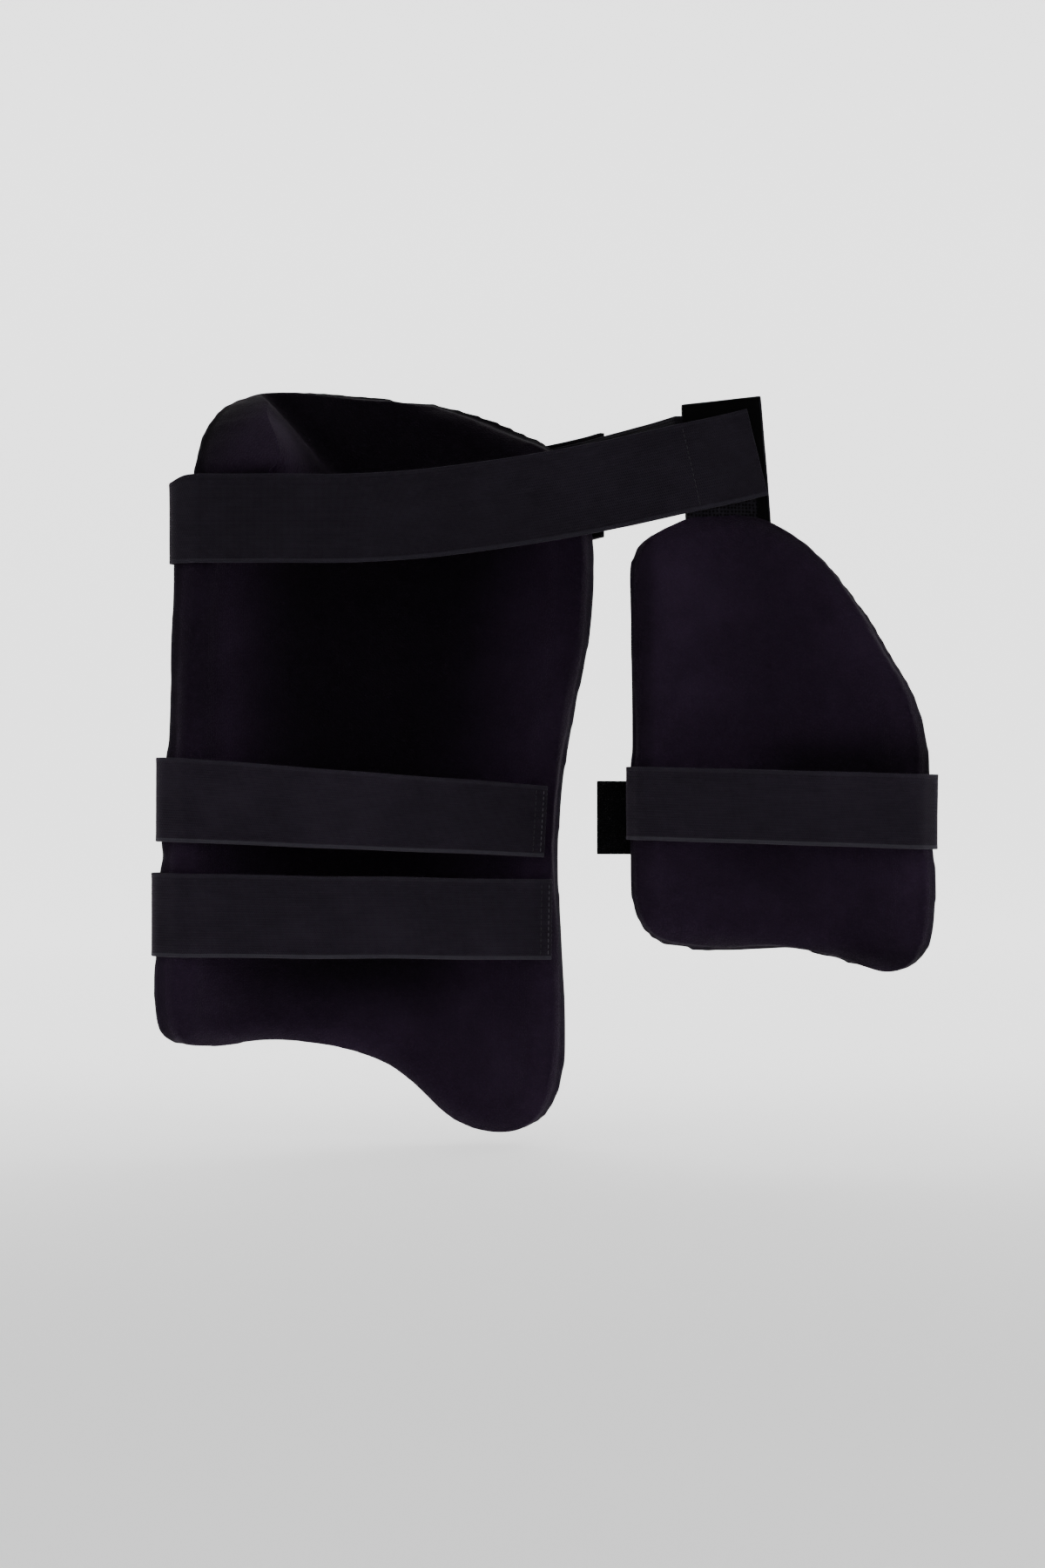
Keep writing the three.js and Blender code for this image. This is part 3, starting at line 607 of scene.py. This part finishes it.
def ease_region(piece, weights, rounds):
    group = piece.vertex_groups.new(name="eased")
    for index, weight in weights.items():
        group.add([index], weight, "REPLACE")
    ease = piece.modifiers.new("ease", "SMOOTH")
    ease.factor = 0.5
    ease.iterations = rounds
    ease.vertex_group = "eased"
    apply_all(piece)
    piece.vertex_groups.clear()


def thigh_round(place):
    """A point of the large pad's top on its thigh: middle, direction out, radius, and across at the seam."""
    up = (place.z + THIGH_BOTTOM) / THIGH_HEIGHT
    middle = Vector((-30.9 * MM, -98.8 * MM + THIGH_WIDTH * (0.07 + (up - 0.88) / 3), place.z))
    out = place - middle
    radius = out.length
    out.normalize()
    return middle, out, radius, middle.x + THIGH_TOP_RADIUS * out.x


def outline_tree():
    """Points along the large pad's outline, laid flat: across at the seam, and height."""
    bm = bmesh.new()
    bm.from_mesh(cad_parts["thigh_pad_shell"].data)
    bm.normal_update()
    points = []
    for face in bm.faces:
        if abs(face.normal.dot(thigh_round(face.calc_center_median())[1])) < 0.33:
            for edge in face.edges:
                start, end = (v.co for v in edge.verts)
                points.extend(start.lerp(end, i / 6) for i in range(7))
    bm.free()
    tree = KDTree(len(points))
    for index, point in enumerate(points):
        tree.insert(Vector((thigh_round(point)[3], 0, point.z)), index)
    tree.balance()
    return tree


def shape_hip_bolster(piece):
    """The hip roll at the large pad's top left: full up to a steep flank, and tucked in above the belt."""
    crown, foot = Vector((-127 * MM, 0, 60 * MM)), Vector((-92 * MM, 0, 27 * MM))
    flank = (foot - crown).normalized()
    aside = Vector((flank.z, 0, -flank.x))
    outline = outline_tree()
    weights = {}
    for vertex in piece.data.vertices:
        place = vertex.co
        if place.z < 4 * MM or place.x > 0:
            continue
        middle, out, radius, across = thigh_round(place)
        if radius > 136 * MM:
            continue
        inside = (Vector((across, 0, place.z)) - crown).dot(aside)
        aside_gap, level_gap = (across + 160.5 * MM) / (45.2 * MM), (place.z - 21.1 * MM) / (31.9 * MM)
        solid = 36 * MM * math.exp(-aside_gap ** 2 - level_gap ** 2)
        full = smoothstep(-4 * MM, 8 * MM, inside)
        rise = solid * (0.15 + 0.85 * full) + 12 * MM * full * smoothstep(70 * MM, 20 * MM, inside)
        rise -= 3 * MM * math.exp(-((inside + 9 * MM) / (6 * MM)) ** 2)
        gap = outline.find(Vector((across, 0, place.z)))[2]
        weight = smoothstep(5 * MM, 17 * MM, gap) * smoothstep(5 * MM, 14 * MM, place.z)
        weight *= smoothstep(-20 * MM, -45 * MM, across)
        wanted = LINER_FACE_RADIUS - rise
        vertex.co = middle + out * (radius + (wanted - radius) * weight)
        weights[vertex.index] = min(weight * 1.5, 1.0)
    ease_region(piece, weights, 7)
    normals = [v.normal.copy() for v in piece.data.vertices]
    for vertex, normal in zip(piece.data.vertices, normals):
        if normal.y < 0 and vertex.co.z > 4 * MM and vertex.co.x < -90 * MM:
            tuck = math.exp(-((vertex.co.z - 16 * MM) / (4.5 * MM)) ** 2)
            tuck *= smoothstep(-95 * MM, -118 * MM, vertex.co.x)
            vertex.co -= normal * 6.5 * MM * tuck * smoothstep(0.0, 0.4, -normal.y)


def paint_shade_marks(piece, left, right, deep, lip, shade_bands):
    """How much painted shade a point gets: by how far it is behind the line from rim to rim, and along the
    shade bands.

    It fades out towards the pad's lower lip. Each shade band is painted shadow: a soft band at a level that
    grows in along x.
    """
    slope = (right[1] - left[1]) / (right[0] - left[0])
    painted_shade = piece.data.attributes.new("painted_shade", "FLOAT", "POINT")
    for vertex in piece.data.vertices:
        behind = vertex.co.y - (left[1] + slope * (vertex.co.x - left[0]))
        facing = smoothstep(0.2, -0.3, vertex.normal.y)
        dark = smoothstep(0.10 * deep, 0.72 * deep, behind) * facing
        dark *= smoothstep(lip[0], lip[1], vertex.co.z)
        for shade_band in shade_bands:
            across = smoothstep(shade_band["from"], shade_band["until"], vertex.co.x)
            near = math.exp(-((vertex.co.z - shade_band["level"]) / shade_band["high"]) ** 2)
            dark = max(dark, shade_band["dark"] * across * near * facing)
        painted_shade.data[vertex.index].value = dark


def make_pad(liner, shell, name, axis, rims, deep, lip, straps, shade_bands, bolster=False):
    """A pad's two foam layers under one skin, with the lining on the body side and the cover outside."""
    piece = copy_of_node(liner, name)
    round_off(piece, 2)
    backing = copy_of_node(shell, name + "_backing")
    round_off(backing, 2)
    take_up(piece)
    backing.select_set(True)
    bpy.ops.object.join()
    remesh(piece, REMESH_SIZE, 9)
    start = fill_with_air(piece, CLOTH_PRESSURE, CLOTH_FRAMES)
    settle_foam(piece, start, straps, FOAM_SWELL)
    round_the_rim(piece, (liner,), axis, 15 * MM, 5.5 * MM)
    if bolster:
        shape_hip_bolster(piece)
    ease_surface(piece)
    round_off(piece, 1)
    piece.data.materials.append(LINING)
    piece.data.materials.append(COVER)
    lining_side, cover_side = tree_of(liner), tree_of(shell)
    for face in piece.data.polygons:
        to_cover, to_lining = (side.find_nearest(face.center)[3] for side in (cover_side, lining_side))
        face.material_index = int(to_cover < to_lining)
    smooth_by_angle(piece, 70)
    # painted shade on the points: the hollow behind the rims, and the bands of painted shadow
    paint_shade_marks(piece, *rims, deep, lip, shade_bands)
    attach(piece, "root")
    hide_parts(liner, shell)
    return piece


def ring_of(node, steps):
    """The ring of a layer's open face that lies steps out from its middle, in order round the pad."""
    bm = bmesh.new()
    bm.from_mesh(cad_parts[node].data)
    bmesh.ops.remove_doubles(bm, verts=bm.verts, dist=1e-6)
    hubs = sorted((v for v in bm.verts if len(v.link_edges) > 40), key=lambda v: v.co.y)
    ring, seen = {hubs[-1]}, {hubs[-1]}
    for _ in range(steps):
        ring = {e.other_vert(v) for v in ring for e in v.link_edges} - seen
        seen |= ring
    here = max(ring, key=lambda v: (v.co.z, v.co.x))
    walk = [here]
    while True:
        beside = (e.other_vert(here) for e in here.link_edges)
        ahead = [v for v in beside if v in ring and v not in walk]
        if not ahead:
            break
        here = min(ahead, key=lambda v: ((v.co - here.co).length, v.co.x))
        walk.append(here)
    points = [v.co.copy() for v in walk]
    bm.free()
    return points + points[:1]


def sew_round(pad, node, name):
    """A row of stitches round a pad's cover, between two rings of its solid, in cloth that they draw in."""
    low, high = (ring_of(node, steps) for steps in SEAM_RINGS)
    tree = BVHTree.FromObject(pad, bpy.context.evaluated_depsgraph_get())
    points, normals = [], []
    for first in low:
        second = min(high, key=lambda q: (q - first).length)
        place, normal, _, _ = tree.find_nearest(first.lerp(second, SEAM_SHARE))
        points.append(place)
        normals.append(normal)
    line = KDTree(len(points) * 8)
    for index, (start, end) in enumerate(zip(points, points[1:])):
        for part in range(8):
            line.insert(start.lerp(end, part / 8), index * 8 + part)
    line.balance()
    facing = [v.normal.copy() for v in pad.data.vertices]
    for vertex, out in zip(pad.data.vertices, facing):
        gap = line.find(vertex.co)[2]
        if gap < SEAM_REACH:
            vertex.co -= out * SEAM_DRAW * math.exp(-(gap / SEAM_WIDTH) ** 2)
    points = [place - normal * SEAM_DRAW / 2 for place, normal in zip(points, normals)]
    stitch_row(name, points, normals, DARK_THREAD, length=2.4 * MM, pitch=3.4 * MM)


def make_pads():
    thigh = make_pad(
        "thigh_pad_liner", "thigh_pad_shell", "thigh_pad", THIGH_AXIS,
        # rims, deep and lip set where the hollow gets painted shade
        rims=((-165 * MM, -42 * MM), (61 * MM, 2 * MM)), deep=62 * MM, lip=(-304 * MM, -258 * MM),
        straps=("waist_belt", "upper_thigh_strap", "lower_thigh_strap", "belt_carrier"),
        # bands of painted shadow: under the belt beside the hip roll, and down the left rim
        shade_bands=(
            {"level": 15.5 * MM, "high": 3.2 * MM, "from": -98 * MM, "until": -116 * MM, "dark": 1.0},
            {"level": -70 * MM, "high": 120 * MM, "from": -128 * MM, "until": -148 * MM, "dark": 0.55},
        ),
        bolster=True,
    )
    inner = make_pad(
        "inner_pad_liner", "inner_pad_shell", "inner_pad", INNER_AXIS,
        rims=((90.5 * MM, -55 * MM), (254 * MM, -81 * MM)), deep=60 * MM, lip=(-262 * MM, -240 * MM),
        straps=("inner_pad_strap", "inner_strap_tail", "belt_hanger"),
        # bands of painted shadow: above the strap, down the left rim, and along the bottom edge
        shade_bands=(
            {"level": -144 * MM, "high": 17 * MM, "from": 128 * MM, "until": 190 * MM, "dark": 0.88},
            {"level": -100 * MM, "high": 150 * MM, "from": 103 * MM, "until": 96 * MM, "dark": 0.55},
            {"level": -252 * MM, "high": 9 * MM, "from": 110 * MM, "until": 130 * MM, "dark": 0.6},
        ),
    )
    sew_round(thigh, "thigh_pad_shell", "thigh_pad_cover_stitches")
    sew_round(inner, "inner_pad_shell", "inner_pad_cover_stitches")


# ---------------------------------------------------------------- straps and belt
def sections_of(node):
    """A band's cross-sections from end to end: its bottom and its top, halfway through the thickness."""
    bm = bmesh.new()
    bm.from_mesh(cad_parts[node].data)
    bmesh.ops.remove_doubles(bm, verts=bm.verts, dist=1e-6)
    ends = {v for v in bm.verts if len(v.link_edges) < 6}
    group = sorted(ends, key=lambda v: v.co.x)[:4]
    if len(bm.verts) > 8:
        group = [max(ends, key=lambda v: v.co.y)]
        for vertex in group:
            beside = (e.other_vert(vertex) for e in vertex.link_edges)
            group.extend(v for v in beside if v in ends and v not in group)
    seen = set(group)
    sections = []
    while group:
        by_height = sorted(group, key=lambda v: (v.co.z, v.co.x, v.co.y))
        half = len(by_height) // 2
        sections.append(tuple(sum((v.co for v in part), Vector()) / len(part)
                              for part in (by_height[:half], by_height[half:])))
        rest = {e.other_vert(v) for v in group for e in v.link_edges} - seen
        seen |= rest
        group = list(rest)
    bm.free()
    return sections


def grid_strip(name, columns, rows):
    """A flat strip to be laid along a band: columns along it, rows across it."""
    clear_selection()
    bpy.ops.mesh.primitive_grid_add(x_subdivisions=columns, y_subdivisions=rows, size=1, calc_uvs=True)
    strip = name_it(bpy.context.object, name)
    strip.data.uv_layers[0].name = "laid"
    return strip


class BandPath:
    """The line a band follows, and the way its face points, at any distance along it."""

    def __init__(self, node):
        self.sections = sections_of(node)
        middles = [(low + high) / 2 for low, high in self.sections]
        self.marks = [0.0]
        for before, after in zip(middles, middles[1:]):
            self.marks.append(self.marks[-1] + (after - before).length)
        self.length = self.marks[-1]
        # +1 where the band runs anticlockwise round what it holds, seen from above, or is straight
        area = sum(a.x * b.y - b.x * a.y for a, b in zip(middles, middles[1:] + middles[:1]))
        self.outward = 1 if area > 0 or len(middles) == 2 else -1

    def at(self, distance):
        distance = min(max(distance, 0.0), self.length)
        last = len(self.marks) - 2
        place = next((i for i in range(last + 1) if self.marks[i + 1] >= distance), last)
        span = self.marks[place + 1] - self.marks[place]
        share = (distance - self.marks[place]) / span if span > 0 else 0.0
        low = self.sections[place][0].lerp(self.sections[place + 1][0], share)
        high = self.sections[place][1].lerp(self.sections[place + 1][1], share)
        return low, high

    def frame_at(self, distance):
        """Bottom edge, top edge, and the normal that points away from the wearer or the pad."""
        low, high = self.at(distance)
        step = 2.0 * MM
        back_low, back_high = self.at(distance - step)
        on_low, on_high = self.at(distance + step)
        along = ((on_low + on_high) - (back_low + back_high)).normalized()
        normal = along.cross((high - low).normalized()).normalized() * self.outward
        return low, high, normal


def ripple(distance, share, seed):
    """How a soft band strays from its line: long slow waves, and more at its free edges."""
    slow = noise.noise(Vector((distance * 14.0, share * 0.6, seed)))
    quick = noise.noise(Vector((distance * 60.0, share * 2.0, seed + 9.0)))
    edge = abs(2.0 * share - 1.0)
    return (0.25 + 0.35 * edge ** 2) * MM * slow + 0.1 * MM * quick


def make_band(node, name, material, seed, rows=14, hems=(True, True), waviness=1.0, droop=None):
    """A strap or belt laid along its solid. hems says which ends are doubled, first and last.

    droop sags the top edge round an x: that x, how wide, and how deep.
    """
    path = BandPath(node)
    columns = max(int(path.length / BAND_STEP), 8)
    strip = grid_strip(name, columns, rows)
    mesh = strip.data
    selvedge = strip.vertex_groups.new(name="selvedge")
    places = {}
    for vertex in mesh.vertices:
        share_along = vertex.co.x + 0.5
        turn_up = math.cos(math.pi * (vertex.co.y + 0.5))
        share_up = 0.5 - 0.5 * turn_up * (0.35 + 0.65 * abs(turn_up))
        distance = share_along * path.length
        low, high, normal = path.frame_at(distance)
        height = (high - low).length
        up = (high - low) / height
        hem = 0.0
        for wanted, gap in zip(hems, (distance, path.length - distance)):
            if wanted:
                hem = max(hem, 1.0 - smoothstep(7.0 * MM, 8.5 * MM, gap))
        sway = 0.35 * MM * noise.noise(Vector((distance * 22.0, seed, 4.0))) * waviness
        if droop:
            turn = math.exp(-(((low.x - droop[0]) / droop[1]) ** 2)) * smoothstep(0.45, 1.0, share_up)
            low = low - up * droop[2] * turn
        place = low + up * (share_up * height + sway * abs(2 * share_up - 1))
        place += normal * (waviness * ripple(distance, share_up, seed) + HEM_DOUBLING * hem)
        edge_gap = min(share_up, 1.0 - share_up) * height
        places[vertex.index] = (distance, (share_up - 0.5) * height, edge_gap)
        weight = 1.0 if edge_gap < SELVEDGE_WIDTH else 0.0
        selvedge.add([vertex.index], max(weight, hem), "REPLACE")
        vertex.co = place
    from_edge = mesh.attributes.new("from_edge", "FLOAT", "POINT")
    for index, (_, _, gap) in places.items():
        from_edge.data[index].value = gap
    layer = mesh.uv_layers["laid"]
    for loop in mesh.loops:
        distance, level, _ = places[loop.vertex_index]
        layer.data[loop.index].uv = (distance, level)
    thicken = strip.modifiers.new("cloth", "SOLIDIFY")
    thicken.thickness = STRAP_THICKNESS
    thicken.offset = 0
    thicken.vertex_group = "selvedge"
    thicken.thickness_vertex_group = 0.8
    thicken.use_even_offset = False
    soften = strip.modifiers.new("woven_edge", "BEVEL")
    soften.width = 0.45 * MM
    soften.segments = 2
    soften.limit_method = "ANGLE"
    soften.angle_limit = math.radians(50)
    apply_all(strip)
    take_up(strip)
    bpy.ops.object.mode_set(mode="EDIT")
    bpy.ops.mesh.select_all(action="SELECT")
    bpy.ops.mesh.normals_make_consistent(inside=False)
    bpy.ops.object.mode_set(mode="OBJECT")
    smooth_by_angle(strip, 50)
    mesh.materials.append(material)
    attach(strip, "root")
    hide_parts(node)
    return strip, path


def stitch_pattern():
    """One stitch, along x: its corners and faces, listed in the same order in every run."""
    clear_selection()
    bpy.ops.mesh.primitive_uv_sphere_add(segments=6, ring_count=5, radius=0.5,
                                         rotation=(0, math.radians(90), 0))
    pattern = bpy.context.object
    lay_down(pattern)
    corners = [v.co.copy() for v in pattern.data.vertices]
    order = sorted(range(len(corners)), key=lambda i: tuple(round(c, 5) for c in corners[i]))
    rank = {old: new for new, old in enumerate(order)}
    faces = []
    for polygon in pattern.data.polygons:
        ring = [rank[i] for i in polygon.vertices]
        first = ring.index(min(ring))
        faces.append(tuple(ring[first:] + ring[:first]))
    bpy.data.objects.remove(pattern)
    return [corners[i] for i in order], sorted(faces)


def stitch_row(name, points, normals, material=None, length=STITCH_LENGTH, pitch=STITCH_PITCH):
    """A row of stitches along a line of points, each a small capsule with its ends sunk into the cloth."""
    corners, faces = stitch_pattern()
    marks = [0.0]
    for before, after in zip(points, points[1:]):
        marks.append(marks[-1] + (after - before).length)
    vertices, polygons = [], []
    count = max(int(marks[-1] / pitch), 1)
    for number in range(count):
        middle = (number + 0.5) * marks[-1] / count
        place = next(i for i in range(len(marks) - 1) if marks[i + 1] >= middle - 1e-9)
        share = (middle - marks[place]) / (marks[place + 1] - marks[place])
        centre = points[place].lerp(points[place + 1], share)
        along = (points[place + 1] - points[place]).normalized()
        out = normals[place].lerp(normals[place + 1], share).normalized()
        side = along.cross(out).normalized()
        base = len(vertices)
        for corner in corners:
            dip = -0.22 * THREAD_THICKNESS * (2 * corner.x) ** 2
            vertices.append(centre + along * corner.x * length + side * corner.y * THREAD_THICKNESS
                            + out * (corner.z * THREAD_THICKNESS * 0.8 + dip))
        polygons.extend(tuple(base + i for i in face) for face in faces)
    mesh = bpy.data.meshes.new(name)
    mesh.from_pydata(vertices, [], polygons)
    row = bpy.data.objects.new(name, mesh)
    SCENE.collection.objects.link(row)
    smooth_by_angle(row, 80)
    mesh.materials.append(material or THREAD)
    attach(row, "root")


def stitch_across(name, path, distance, proud=STITCH_PROUD, material=None):
    """A row of stitches from a band's lower edge to its upper one, at a distance along it."""
    low, high, normal = path.frame_at(distance)
    up = (high - low).normalized()
    room = (high - low).length - 2 * STITCH_MARGIN
    points = [low + up * (STITCH_MARGIN + room * i / 8) + normal * proud for i in range(9)]
    stitch_row(name, points, [normal] * 9, material)


def make_straps():
    for end, seed in (("upper", 3.0), ("lower", 7.0)):
        name = end + "_thigh_elastic"
        _, path = make_band(end + "_thigh_strap", name, ELASTIC, seed)
        stitch_across(name + "_front_stitches", path, path.length - 2.4 * MM)
        stitch_across(name + "_hem_stitches", path, path.length - 6.6 * MM, material=DARK_THREAD)
        stitch_across(name + "_back_stitches", path, 3.0 * MM, material=DARK_THREAD)
    _, path = make_band("inner_pad_strap", "inner_pad_elastic", ELASTIC, seed=12.0)
    for end, place in (("first", 3.0 * MM), ("last", path.length - 3.0 * MM)):
        stitch_across("inner_pad_elastic_" + end + "_stitches", path, place, material=DARK_THREAD)
    make_band("inner_strap_tail", "inner_strap_hook_tail", HOOK_TAPE, seed=15.0, rows=8,
              hems=(True, False))


def make_belt():
    belt, path = make_band("waist_belt", "waist_belt_elastic", BELT_ELASTIC, seed=21.0, rows=16,
                           droop=(-168 * MM, 7 * MM, 4.5 * MM), waviness=1.5)
    belt.data.materials.append(SHADED_REAR_ELASTIC)
    # the run behind the pads, up to 40 mm before its turn round the left edge, takes the darker copy: painted
    # shade
    turn = min(range(len(path.sections)), key=lambda i: path.sections[i][0].x)
    laid = belt.data.uv_layers["laid"].data
    for face in belt.data.polygons:
        face.material_index = int(laid[face.loop_start].uv[0] < path.marks[turn] - 40 * MM)
    stitch_across("belt_front_hem_stitches", path, path.length - 38 * MM, STITCH_PROUD - HEM_DOUBLING,
                  DARK_THREAD)


def soften_node(node, name, material, foot=0.0):
    """A cloth part that keeps its solid's form, with soft edges. foot lets its lower end down."""
    piece = copy_of_node(node, name)
    soften = piece.modifiers.new("edge", "BEVEL")
    soften.width = 0.4 * MM
    soften.segments = 2
    soften.limit_method = "ANGLE"
    soften.angle_limit = math.radians(35)
    apply_all(piece)
    round_off(piece, 2)
    mesh = piece.data
    if foot:
        floor = min(v.co.z for v in mesh.vertices)
        for vertex in mesh.vertices:
            drop = smoothstep(floor + 9 * MM, floor + 1 * MM, vertex.co.z)
            vertex.co.z -= foot * drop
    for layer in list(mesh.uv_layers):
        mesh.uv_layers.remove(layer)
    layer = mesh.uv_layers.new(name="laid")
    from_edge = mesh.attributes.new("from_edge", "FLOAT", "POINT")
    normals = [v.normal.copy() for v in mesh.vertices]
    for vertex, normal in zip(mesh.vertices, normals):
        from_edge.data[vertex.index].value = 1.0
        vertex.co += normal * 0.12 * MM * noise.noise(vertex.co * 70.0)
    for loop in mesh.loops:
        place = mesh.vertices[loop.vertex_index].co
        layer.data[loop.index].uv = (place.x, place.z)
    smooth_by_angle(piece, 50)
    mesh.materials.append(material)
    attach(piece, "root")
    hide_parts(node)


def make_hanger_and_carrier():
    soften_node("belt_hanger", "belt_hanger_mesh", AIR_MESH, foot=2.0 * MM)
    soften_node("belt_carrier", "belt_carrier_webbing", WEBBING)


# ---------------------------------------------------------------- floor and backdrop
def make_studio():
    """White paper under the object, curved up all round."""
    clear_selection()
    bpy.ops.mesh.primitive_circle_add(vertices=96, radius=PAPER_RADIUS, fill_type="NGON",
                                      location=(0, 0, FLOOR_LEVEL))
    paper = name_it(bpy.context.object, "studio_paper")
    lay_down(paper)
    take_up(paper)
    bpy.ops.object.mode_set(mode="EDIT")
    bpy.ops.mesh.select_mode(type="EDGE")
    bpy.ops.mesh.select_all(action="SELECT")
    bpy.ops.mesh.region_to_loop()
    rim, reach = PAPER_RADIUS, PAPER_CURVE * math.pi / 2 / PAPER_CURVE_STEPS
    for number in range(PAPER_CURVE_STEPS):
        turn = math.radians(90 * (number + 0.5) / PAPER_CURVE_STEPS)
        wider = rim + reach * math.cos(turn)
        bpy.ops.mesh.extrude_edges_move(TRANSFORM_OT_translate={"value": (0, 0, reach * math.sin(turn))})
        bpy.ops.transform.resize(value=(wider / rim, wider / rim, 1), center_override=(0, 0, 0))
        rim = wider
    bpy.ops.mesh.extrude_edges_move(TRANSFORM_OT_translate={"value": (0, 0, PAPER_WALL)})
    bpy.ops.mesh.select_all(action="SELECT")
    bpy.ops.mesh.normals_make_consistent(inside=True)
    bpy.ops.object.mode_set(mode="OBJECT")
    smooth_by_angle(paper, 60)
    paper.data.materials.append(PAPER)


set_up_camera()
set_up_lights()
make_studio()
make_pads()
make_straps()
make_belt()
make_hanger_and_carrier()
